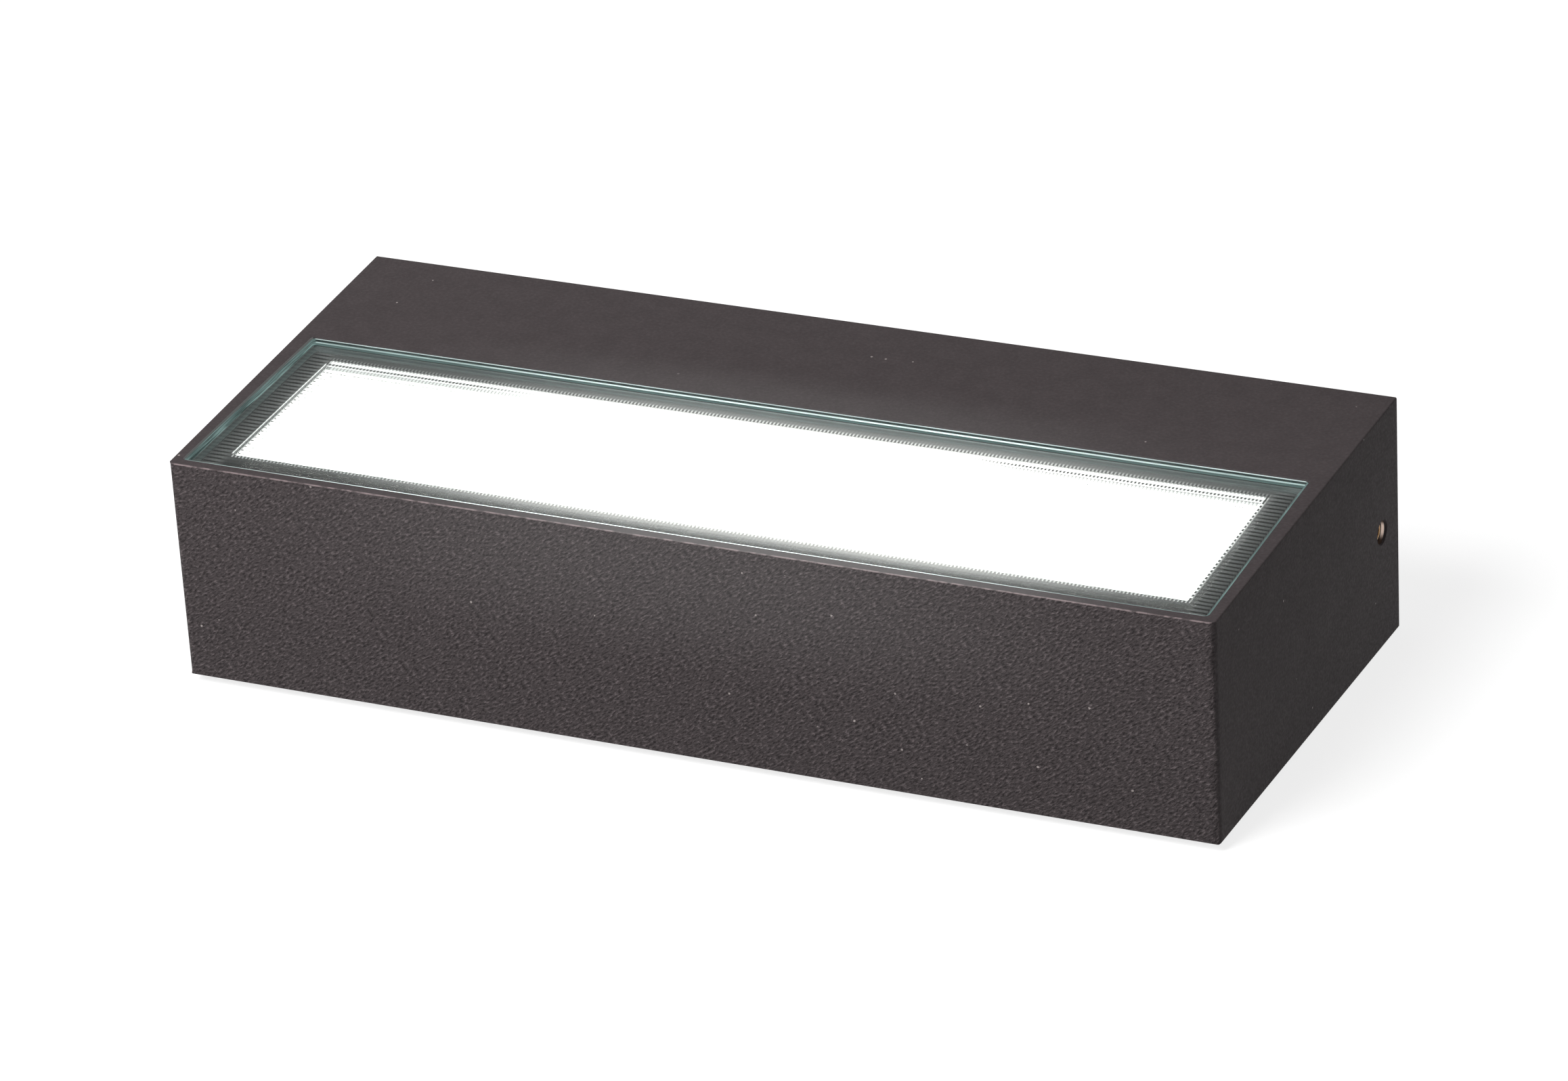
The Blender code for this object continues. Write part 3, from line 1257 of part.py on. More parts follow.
def make_driver_screws():
    head_y = DRIVER_REAR_Y - DRIVER_WALL - SEAT_GAP
    for number, side in enumerate((-1, 1), 1):
        screw = pan_head(f"driver_screw_{number}", M3_HEAD_RADIUS, M3_HEAD_HEIGHT,
                         M3_SHANK_RADIUS, M3_DRIVER_LENGTH)
        place = (DRIVER_X + side * DRIVER_SCREW_X, head_y, DRIVER_Z)
        place_piece(screw, facing((0, -1, 0), place), LAMP, ZINC)


# Terminal block

def pole_places():
    first = TERMINAL_X - (POLE_COUNT - 1) / 2 * POLE_PITCH
    return [first + number * POLE_PITCH for number in range(POLE_COUNT)]


def make_terminal_block():
    """Base strip with three pole towers and an ear at each end."""
    half_base = POLE_COUNT * POLE_PITCH / 2 + FIXING_EAR
    base = block("terminal_block",
                 (TERMINAL_X - half_base, TERMINAL_Y, TERMINAL_Z - BASE_HEIGHT / 2),
                 (TERMINAL_X + half_base, TERMINAL_Y + BASE_DEPTH, TERMINAL_Z + BASE_HEIGHT / 2), LAMP)
    round_upright_edges(base, TERMINAL_CORNER, "Y", CORNER_STEPS)
    low_z = TERMINAL_Z - POLE_HEIGHT / 2
    high_z = TERMINAL_Z + POLE_HEIGHT / 2
    for number, x in enumerate(pole_places()):
        tower = block(f"pole tower {number + 1}", (x - POLE_WIDTH / 2, TERMINAL_Y + SEAT_GAP, low_z),
                      (x + POLE_WIDTH / 2, TERMINAL_Y + POLE_DEPTH, high_z), LAMP)
        round_edges(tower, SEAT_GAP * 2, 1)
        fuse(base, tower)
    for number, x in enumerate(pole_places()):
        bore = rod(f"pole bore {number + 1}", CLAMP_RADIUS + SEAT_GAP, (x, CLAMP_Y, low_z - OVERRUN),
                   (x, CLAMP_Y, high_z + OVERRUN), LAMP, steps=SMALL_ROUND_STEPS)
        cut(base, bore)
        for side in (-1, 1):
            z = TERMINAL_Z + side * CLAMP_SCREW_SPACING / 2
            cut(base, rod(f"pole screw hole {number + 1} {side}", CLAMP_SCREW_RADIUS + SCREW_CLEARANCE,
                          (x, CLAMP_Y, z), (x, TERMINAL_Y + POLE_DEPTH + OVERRUN, z), LAMP,
                          steps=SMALL_ROUND_STEPS))
    for side in (-1, 1):
        x = TERMINAL_X + side * FIXING_X
        cut(base, rod(f"terminal ear hole {side}", M25_SHANK_RADIUS + SCREW_CLEARANCE,
                      (x, TERMINAL_Y - OVERRUN, TERMINAL_Z),
                      (x, TERMINAL_Y + BASE_DEPTH + OVERRUN, TERMINAL_Z), LAMP,
                      steps=SMALL_ROUND_STEPS))
    base.data.materials.append(make_material("white_terminal_nylon", (0.80, 0.79, 0.74), 0.5))


def make_terminal_clamps():
    """Brass sleeves in the pole bores."""
    half = CLAMP_LENGTH / 2
    profile = [(CLAMP_RADIUS, half), (CLAMP_RADIUS, -half), (CLAMP_BORE, -half), (CLAMP_BORE, half)]
    brass = make_material("terminal_brass", (0.72, 0.55, 0.25), 0.3, 1.0)
    for number, x in enumerate(pole_places(), 1):
        clamp = turned(f"terminal_clamp_{number}", profile, closed=True, steps=SMALL_ROUND_STEPS)
        place_piece(clamp, Matrix.Translation((x, CLAMP_Y, TERMINAL_Z)), LAMP, brass)


def make_terminal_screws():
    """Two clamp screws in each pole, reached from the wall side."""
    low = CLAMP_RADIUS + SEAT_GAP
    high = POLE_DEPTH - CLAMP_AXIS_DEPTH - CLAMP_SCREW_SINK
    profile = [(0.0, high), (CLAMP_SCREW_RADIUS, high), (CLAMP_SCREW_RADIUS, low), (0.0, low)]
    for number, x in enumerate(pole_places(), 1):
        for side, end in ((-1, "lower"), (1, "upper")):
            z = TERMINAL_Z + side * CLAMP_SCREW_SPACING / 2
            screw = turned(f"terminal_screw_{number}_{end}", profile, steps=SMALL_ROUND_STEPS)
            place_piece(screw, facing((0, 1, 0), (x, CLAMP_Y, z)), LAMP, ZINC)


def make_terminal_fixing_screws():
    head_y = TERMINAL_Y + BASE_DEPTH + SEAT_GAP
    for number, side in enumerate((-1, 1), 1):
        screw = pan_head(f"terminal_fixing_screw_{number}", M25_HEAD_RADIUS, M25_HEAD_HEIGHT,
                         M25_SHANK_RADIUS, M25_FIXING_LENGTH)
        place = (TERMINAL_X + side * FIXING_X, head_y, TERMINAL_Z)
        place_piece(screw, facing((0, 1, 0), place), LAMP, ZINC)


# Supply leads and earth

def make_mains_leads():
    """Live and neutral, from their poles through the tray to the driver's end."""
    low_z = TERMINAL_Z - POLE_HEIGHT / 2
    grip_z = TERMINAL_Z - CLAMP_LENGTH / 2 + LEAD_GRIP
    driver_x = DRIVER_X + DRIVER_LENGTH / 2 + SEAT_GAP
    entry_y = DRIVER_REAR_Y - LEAD_ENTRY_DEPTH
    entry_z = DRIVER_Z - LEAD_ENTRY_DROP
    hole_x = TRAY_GROMMET_X
    hole_z = TRAY_GROMMET_Z
    step = LEAD_STEP
    leads = (("live_lead", 0, 1, (0.16, 0.06, 0.025)), ("neutral_lead", 1, -1, (0.03, 0.10, 0.42)))
    for name, pole, side, colour in leads:
        x = pole_places()[pole]
        offset = side * MAINS_LEAD_SPACING / 2
        spread = side * MAINS_LEAD_SPREAD / 2
        route = [
            (x, CLAMP_Y, grip_z),
            (x, CLAMP_Y, low_z),
            (x, CLAMP_Y, low_z - 2 * step),
            (x - 3 * step, CLAMP_Y, low_z - 5.5 * step + spread),
            (x - 9 * step, CLAMP_Y, low_z - 5.8 * step + spread),
            (hole_x + 9 * step, CLAMP_Y - step, hole_z - 1.2 * step + spread),
            (hole_x + 2.4 * step, TRAY_REAR_Y + 4 * step, hole_z + offset),
            (hole_x, TRAY_REAR_Y + 0.5 * step, hole_z + offset),
            (hole_x, TRAY_FRONT_Y - step, hole_z + offset),
            (hole_x - 3 * step, TRAY_FRONT_Y - 6.2 * step, hole_z + offset),
            ((hole_x - 3 * step + driver_x) / 2, entry_y + 1.2 * step, entry_z - step + offset),
            (driver_x + 6 * step, entry_y, entry_z + offset),
            (driver_x, entry_y, entry_z + offset),
        ]
        wire = lead(name, route, MAINS_LEAD_RADIUS, LAMP)
        wire.data.materials.append(make_material(f"{name}_sleeve", colour, 0.4))


def earth_stack():
    """Depths of the earth stack: washer, tag and screw head, from the tray to the wall."""
    washer_y = TRAY_REAR_Y + SEAT_GAP
    tag_y = washer_y + WASHER_THICKNESS + SEAT_GAP
    head_y = tag_y + TAG_THICKNESS + SEAT_GAP
    return washer_y, tag_y, head_y


def make_earth_lead():
    x = pole_places()[2]
    low_z = TERMINAL_Z - POLE_HEIGHT / 2
    grip_z = TERMINAL_Z - CLAMP_LENGTH / 2 + LEAD_GRIP
    end_x = EARTH_X - TAG_TONGUE - SEAT_GAP
    span = end_x - x
    step = LEAD_STEP
    route = [
        (x, CLAMP_Y, grip_z),
        (x, CLAMP_Y, low_z),
        (x + 0.03 * span, CLAMP_Y, low_z - 2 * step),
        (x + 0.28 * span, CLAMP_Y - 0.6 * step, low_z - 5 * step),
        (x + 0.56 * span, CLAMP_Y - 2.5 * step, low_z - 3 * step),
        (x + 0.78 * span, BARREL_Y, EARTH_Z),
        (end_x, BARREL_Y, EARTH_Z),
    ]
    wire = lead("earth_lead", route, MAINS_LEAD_RADIUS, LAMP)
    wire.data.materials.append(make_material("earth_lead_sleeve", (0.12, 0.35, 0.06), 0.4))


def make_earth_tag():
    """Ring tag with the crimped barrel that holds the earth lead."""
    _, tag_y, _ = earth_stack()
    far_y = tag_y + TAG_THICKNESS
    sink = SEAT_GAP / 3
    tag = rod("earth_tag", TAG_RADIUS, (EARTH_X, tag_y, EARTH_Z), (EARTH_X, far_y, EARTH_Z), LAMP)
    tongue = block("tag tongue",
                   (EARTH_X - TAG_TONGUE + OVERRUN, tag_y + sink, EARTH_Z - TAG_BARREL_RADIUS),
                   (EARTH_X, far_y - sink, EARTH_Z + TAG_BARREL_RADIUS), LAMP)
    barrel = rod("tag barrel", TAG_BARREL_RADIUS, (EARTH_X - TAG_TONGUE, BARREL_Y, EARTH_Z),
                 (EARTH_X - TAG_RADIUS - OVERRUN, BARREL_Y, EARTH_Z), LAMP, steps=SMALL_ROUND_STEPS)
    fuse(tag, tongue, barrel)
    cut(tag, rod("tag hole", M4_SHANK_RADIUS + SCREW_CLEARANCE, (EARTH_X, tag_y - OVERRUN, EARTH_Z),
                 (EARTH_X, far_y + OVERRUN, EARTH_Z), LAMP, steps=SMALL_ROUND_STEPS))
    tag.data.materials.append(make_material("tinned_copper", (0.70, 0.69, 0.66), 0.3, 1.0))


def make_earth_washer():
    washer_y, _, _ = earth_stack()
    hole = M4_SHANK_RADIUS + SCREW_CLEARANCE
    profile = [
        (WASHER_RADIUS, WASHER_THICKNESS),
        (WASHER_RADIUS, 0.0),
        (hole, 0.0),
        (hole, WASHER_THICKNESS),
    ]
    washer = turned("earth_washer", profile, LAMP, closed=True)
    washer.matrix_basis = facing((0, 1, 0), (EARTH_X, washer_y, EARTH_Z))
    washer.data.materials.append(make_material("zinc_plated_washer", (0.62, 0.63, 0.64), 0.3, 1.0))


def make_earth_screw():
    _, _, head_y = earth_stack()
    screw = pan_head("earth_screw", M4_HEAD_RADIUS, M4_HEAD_HEIGHT, M4_SHANK_RADIUS, M4_EARTH_LENGTH)
    screw.parent = LAMP
    screw.matrix_basis = facing((0, 1, 0), (EARTH_X, head_y, EARTH_Z))
    screw.data.materials.append(make_material("green_earth_screw", (0.10, 0.32, 0.12), 0.35, 0.6))


def build_bracket_body():
    cut_bracket(make_bracket())
    make_bracket_grommet()


def build_lamp_body():
    make_housing()
    make_wall_seal()
    make_glass()
    make_glass_seal()
    make_prismatic_cover()
    make_opal_panel()
    make_reflector_frame()
    make_led_board()
    make_board_screws()
    make_led_connector()
    make_led_grommet()
    make_led_leads()
    make_tray()
    make_tray_screws()
    make_tray_grommet()
    make_driver_case()
    make_driver_lid()
    make_driver_board()
    make_driver_transformer()
    make_driver_capacitors()
    make_driver_screws()
    make_terminal_block()
    make_terminal_clamps()
    make_terminal_screws()
    make_terminal_fixing_screws()
    make_mains_leads()
    make_earth_lead()
    make_earth_tag()
    make_earth_washer()
    make_earth_screw()


def build_side_screws():
    make_side_screw("side_screw_left", -1)
    make_side_screw("side_screw_right", 1)


clear_scene()
PARTS = new_collection(OBJECT_NAME)
TOOLS = new_collection("cutters")
LAMP = new_empty("lamp_on_bracket", (0.0, 0.0, 0.0))
LIGHT = new_empty("top_face", (0.0, OPENING_Y, OPENING_Z), LAMP)
LIGHT.rotation_euler = (TOP_TILT, 0.0, 0.0)
ZINC = make_material("zinc_plated_screw", (0.62, 0.63, 0.64), 0.3, 1.0)

build_bracket_body()
build_lamp_body()
build_side_screws()
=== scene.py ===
"""LED wall light: glass, ribbed sheet, coats and studio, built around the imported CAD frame."""

import math

import bmesh
import bpy
from mathutils import Matrix, Vector


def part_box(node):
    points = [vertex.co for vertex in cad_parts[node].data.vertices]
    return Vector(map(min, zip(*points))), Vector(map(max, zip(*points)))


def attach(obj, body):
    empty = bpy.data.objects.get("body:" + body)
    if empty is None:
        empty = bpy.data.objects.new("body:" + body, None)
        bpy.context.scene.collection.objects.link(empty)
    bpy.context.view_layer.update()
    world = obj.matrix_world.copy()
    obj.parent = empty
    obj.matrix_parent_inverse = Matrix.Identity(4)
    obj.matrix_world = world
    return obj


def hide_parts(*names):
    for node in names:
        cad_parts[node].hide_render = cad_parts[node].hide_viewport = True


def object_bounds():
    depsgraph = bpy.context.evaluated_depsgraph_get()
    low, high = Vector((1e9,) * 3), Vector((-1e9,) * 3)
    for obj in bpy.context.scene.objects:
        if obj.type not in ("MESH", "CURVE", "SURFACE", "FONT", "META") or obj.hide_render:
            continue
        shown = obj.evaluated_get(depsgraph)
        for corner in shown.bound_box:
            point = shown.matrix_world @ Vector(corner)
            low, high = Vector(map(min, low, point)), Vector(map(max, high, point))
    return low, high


bl_info = {
    "name": "LED wall light",
    "version": (1, 0, 0),
    "blender": (4, 5, 0),
    "location": "View3D > Sidebar > Wall light",
    "description": "Dresses the frame of a die-cast LED wall light and sets up its studio",
    "category": "Object",
}

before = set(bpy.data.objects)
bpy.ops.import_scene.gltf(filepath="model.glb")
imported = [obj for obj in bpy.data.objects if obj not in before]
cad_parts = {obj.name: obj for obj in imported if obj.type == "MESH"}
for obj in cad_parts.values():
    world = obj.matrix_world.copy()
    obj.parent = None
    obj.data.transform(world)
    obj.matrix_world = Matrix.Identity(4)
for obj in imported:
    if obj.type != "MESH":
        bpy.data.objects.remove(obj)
CAD_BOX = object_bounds()

# Places in the frame's own coordinates, in metres: the wall is at y = 0, the light shines up

HOUSING_LOW, HOUSING_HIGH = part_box("housing")
GLASS_LOW, GLASS_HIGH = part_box("glass_pane")
COVER_LOW, COVER_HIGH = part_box("prismatic_cover")
SCREW_LOW, SCREW_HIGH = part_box("side_screw_right")
SCREW_AXIS = (0.0, (SCREW_LOW.y + SCREW_HIGH.y) / 2, (SCREW_LOW.z + SCREW_HIGH.z) / 2)
SOCKET_RADIUS = 0.00144
HOLE_RADIUS = 0.0032
FACE_DRAFT = 0.00215
TOP_TILT = math.atan2(FACE_DRAFT, HOUSING_HIGH.y - HOUSING_LOW.y)

# Heights above the sloping top of the housing, and sizes square to it

GLASS_DROP = 0.0002
GLASS_THICKNESS = 0.005
COVER_TOP = -0.0056
COVER_BOTTOM = -0.0081
BOARD_TOP = -0.0221
CHIP_FOOT = 0.0002
EDGE_LINE_DEPTH = 0.0036

# The lit window, and how far the border of the sheet reaches over each of its edges

WINDOW_LENGTH = 0.235
WINDOW_WIDTH = 0.0494
WINDOW_SHIFT = 0.0012
LEFT_OVERLAP = 0.0006
RIGHT_OVERLAP = 0.0011
REAR_OVERLAP = 0.002
FRONT_OVERLAP = 0.0004

# Ribs: plain strip along each side of the sheet, points in one rib, distance of the first groove
# inside the window, and half the strip where the look of the front goes over into the rear's

RIB_MARGIN = 0.0008
RIB_STEPS = 8
FIRST_GROOVE = 0.0011
HALF_CHANGE = 0.001

# Places along the light where each glow is strongest, and where the first groove's line fades

BORDER_GLOW = 0.012
REAR_EDGE_GLOW = 0.01
FRONT_EDGE_GLOW = -0.01
RIM_GLOW = 0.025
GROOVE_FADE = -0.01

# Middle and directions of the sloping top, and factors that see a place from the light's end

TURN = Matrix.Rotation(TOP_TILT, 4, "X")
GLASS_MIDDLE = (GLASS_LOW + GLASS_HIGH) / 2
TOP_ORIGIN = GLASS_MIDDLE + TURN @ Vector((0.0, 0.0, GLASS_DROP + GLASS_THICKNESS / 2))
TOP_FACE = Matrix.Translation(TOP_ORIGIN) @ TURN
TOP_NORMAL = TURN @ Vector((0.0, 0.0, 1.0))
TOP_ACROSS = TURN @ Vector((0.0, 1.0, 0.0))
END_VIEW = (0.0, 1.0, 1.0)

# Camera, fitted to the corners of the body in the photograph

CAMERA_PLACE = (0.5739, -1.2800, 0.6892)
CAMERA_RIGHT = (0.91523, 0.39958, -0.05187)
CAMERA_UP = (-0.13972, 0.43545, 0.88930)
CAMERA_BACK = (0.37793, -0.80667, 0.45437)
CAMERA_LENS = 151.55
CAMERA_SENSOR = 36.0
CAMERA_CLIP = (0.05, 60.0)

# Angles below which an edge is shaded smooth, distance at which corners join, and the floor

SMOOTH_BELOW = math.radians(40)
WIRE_SMOOTH_BELOW = math.radians(50)
JOIN_DISTANCE = 0.000001
FLOOR_HALF = 6.0
FLOOR_GAP = 0.0001


def linear(colour):
    """Turns an sRGB hex colour into the linear red, green, blue and alpha that shaders use."""
    values = [int(colour[i:i + 2], 16) / 255 for i in (0, 2, 4)]
    channels = [v / 12.92 if v <= 0.04045 else ((v + 0.055) / 1.055) ** 2.4 for v in values]
    return (*channels, 1.0)


def per_metre(size):
    """Texture scale at which one cell of a pattern has this size, in metres."""
    return 1.0 / size


# Settings that a user would change

class HousingSettings(bpy.types.PropertyGroup):
    """Coat of the cast housing"""
    coat_colour: bpy.props.FloatVectorProperty(
        name="Coat colour", description="Colour of the powder coat",
        subtype="COLOR", size=4, min=0.0, max=1.0, default=linear("474142"))
    grain: bpy.props.FloatProperty(
        name="Grain", description="Distance between two bumps of the coat",
        unit="LENGTH", precision=5, min=0.0001, max=0.002, default=0.00075)
    grain_height: bpy.props.FloatProperty(
        name="Grain height", description="Height of the bumps of the coat",
        unit="LENGTH", precision=6, min=0.0, max=0.001, default=0.0005)


class GlassSettings(bpy.types.PropertyGroup):
    """Pane of tempered glass"""
    length: bpy.props.FloatProperty(
        name="Length", description="Length of the pane", unit="LENGTH", precision=4,
        default=GLASS_HIGH.x - GLASS_LOW.x + 0.0005)
    width: bpy.props.FloatProperty(
        name="Width", description="Width of the pane", unit="LENGTH", precision=4, default=0.0655)
    thickness: bpy.props.FloatProperty(
        name="Thickness", description="Thickness of the pane", unit="LENGTH", precision=4,
        default=GLASS_THICKNESS)
    chamfer: bpy.props.FloatProperty(
        name="Chamfer", description="Width of the ground chamfer round each face",
        unit="LENGTH", precision=5, default=0.0004)
    corner: bpy.props.FloatProperty(
        name="Corner", description="Radius of the corners", unit="LENGTH", precision=5,
        default=0.001)
    edge_colour: bpy.props.FloatVectorProperty(
        name="Edge colour", description="Colour of the ground edge, which the iron in glass tints",
        subtype="COLOR", size=4, min=0.0, max=1.0, default=linear("8fc4bf"))


class SheetSettings(bpy.types.PropertyGroup):
    """Ribbed sheet under the pane"""
    length: bpy.props.FloatProperty(
        name="Length", description="Length of the ribbed sheet", unit="LENGTH", precision=4,
        default=COVER_HIGH.x - COVER_LOW.x)
    width: bpy.props.FloatProperty(
        name="Width", description="Width of the ribbed sheet", unit="LENGTH", precision=4,
        default=0.0608)
    rib_pitch: bpy.props.FloatProperty(
        name="Rib pitch", description="Distance between two ribs", unit="LENGTH", precision=5,
        default=0.00165)
    rib_height: bpy.props.FloatProperty(
        name="Rib height", description="Height of a rib", unit="LENGTH", precision=5,
        default=0.0001)
    notch_pitch: bpy.props.FloatProperty(
        name="Notch pitch", description="Distance between the fine notches across the ribs",
        unit="LENGTH", precision=5, default=0.0009)


class LampSettings(bpy.types.PropertyGroup):
    """Lit opal panel"""
    light_colour: bpy.props.FloatVectorProperty(
        name="Light colour", description="Colour of the lit opal panel",
        subtype="COLOR", size=4, min=0.0, max=1.0, default=linear("fffdf8"))
    strength: bpy.props.FloatProperty(
        name="Strength", description="How bright the lit panel is, where 1 is white",
        min=0.0, max=50.0, default=6.0)


class StageSettings(bpy.types.PropertyGroup):
    """Lamps and floor of the studio"""
    key: bpy.props.FloatProperty(
        name="Main lamp", description="Power of the soft lamp above the front",
        unit="POWER", default=27.0)
    fill: bpy.props.FloatProperty(
        name="Front lamp", description="Power of the weak lamp in front",
        unit="POWER", default=3.0)
    sky: bpy.props.FloatProperty(
        name="Room light", description="Level of the light that comes from all around",
        min=0.0, max=2.0, default=0.16)
    floor_colour: bpy.props.FloatVectorProperty(
        name="Floor colour", description="Colour of the studio floor",
        subtype="COLOR", size=4, min=0.0, max=1.0, default=linear("8a8a8a"))


class WallLightSettings(bpy.types.PropertyGroup):
    """All settings of the wall light"""
    housing: bpy.props.PointerProperty(
        type=HousingSettings, name="Housing", description="Coat of the cast housing")
    glass: bpy.props.PointerProperty(
        type=GlassSettings, name="Glass", description="Pane of tempered glass")
    sheet: bpy.props.PointerProperty(
        type=SheetSettings, name="Sheet", description="Ribbed sheet under the pane")
    lamp: bpy.props.PointerProperty(
        type=LampSettings, name="Lamp", description="Lit opal panel")
    stage: bpy.props.PointerProperty(
        type=StageSettings, name="Stage", description="Lamps and floor of the studio")


# Node trees

# Setting of a MapRange node that carries a value from one range to another on a smooth step
SMOOTH = {"interpolation_type": "SMOOTHSTEP"}


def add_node(tree, kind, inputs=(), **settings):
    """Adds a shader node with its settings, and fills its inputs.

    The inputs go by name, or in the order of the sockets in use. Each is a number, a colour, a
    socket, or a node whose first output in use feeds it.
    """
    made = tree.nodes.new("ShaderNode" + kind)
    for name, value in settings.items():
        setattr(made, name, value)
    in_use = [socket for socket in made.inputs if socket.enabled]
    if isinstance(inputs, dict):
        filled = [(next(s for s in in_use if s.name == name), inputs[name]) for name in inputs]
    else:
        filled = zip(in_use, inputs)
    for socket, value in filled:
        if isinstance(value, bpy.types.Node):
            value = next(s for s in value.outputs if s.enabled)
        if isinstance(value, bpy.types.NodeSocket):
            tree.links.new(value, socket)
        else:
            socket.default_value = value
    return made


def start_material(name):
    """A new material with an empty tree, and the coordinates of the piece, in metres."""
    material = bpy.data.materials.new(name)
    material.use_nodes = True
    tree = material.node_tree
    tree.nodes.clear()
    return material, tree, add_node(tree, "TexCoord").outputs["Object"]


def distance_from(tree, value, centre):
    """How far a value lies from a centre."""
    offset = add_node(tree, "Math", (value, centre), operation="SUBTRACT")
    return add_node(tree, "Math", (offset,), operation="ABSOLUTE")


def shade(colour, factor):
    """A colour made lighter or darker by a factor."""
    return (*(min(1.0, c * factor) for c in colour[:3]), 1.0)


# Materials. Grains, scratches and weaves that are finer than about half a millimetre on the real
# light are drawn at about that size, because they wouldn't show in a picture

def stray_light(tree, place):
    """Strength of the light that the window spills on the coat.

    It is faint all round the glass, stronger on the thin rim in front of it, and fills the
    shadow on the walls of the glass seat.
    """
    parts = add_node(tree, "SeparateXYZ", (place,)).outputs
    normal = add_node(tree, "SeparateXYZ", (add_node(tree, "TexCoord").outputs["Normal"],)).outputs
    from_middle = distance_from(tree, parts["X"], 0.0)
    flat = add_node(tree, "VectorMath", (place, END_VIEW), operation="MULTIPLY")
    from_line = add_node(tree, "VectorMath", (
        flat, (0.0, TOP_ORIGIN.y, TOP_ORIGIN.z)), operation="DISTANCE").outputs["Value"]
    halo = add_node(tree, "Math", (
        add_node(tree, "MapRange", (from_line, 0.05, 0.033, 0.0, 0.028), **SMOOTH),
        add_node(tree, "MapRange", (from_middle, WINDOW_LENGTH / 2, 0.02), **SMOOTH)),
        operation="MULTIPLY")
    rim = add_node(tree, "Math", (
        add_node(tree, "MapRange", (
            parts["Y"], GLASS_LOW.y + 0.0005, GLASS_LOW.y, 0.0, 0.1), **SMOOTH),
        add_node(tree, "MapRange", (normal["Z"], 0.5, 0.8), **SMOOTH)), operation="MULTIPLY")
    rim_middle = add_node(tree, "MapRange", (
        distance_from(tree, parts["X"], RIM_GLOW), 0.1, 0.03), **SMOOTH)
    front_rim = add_node(tree, "Math", (rim, rim_middle), operation="MULTIPLY")
    seat_end = add_node(tree, "MapRange", (
        from_middle, GLASS_HIGH.x + 0.0008, GLASS_HIGH.x + 0.0005, 0.0, 0.11), **SMOOTH)
    faces_end = add_node(tree, "MapRange", (
        distance_from(tree, normal["X"], 0.0), 0.5, 0.8), **SMOOTH)
    seat_wall = add_node(tree, "Math", (seat_end, faces_end), operation="MULTIPLY")
    both = add_node(tree, "Math", (halo, front_rim), operation="ADD")
    return add_node(tree, "Math", (both, seat_wall), operation="MAXIMUM")


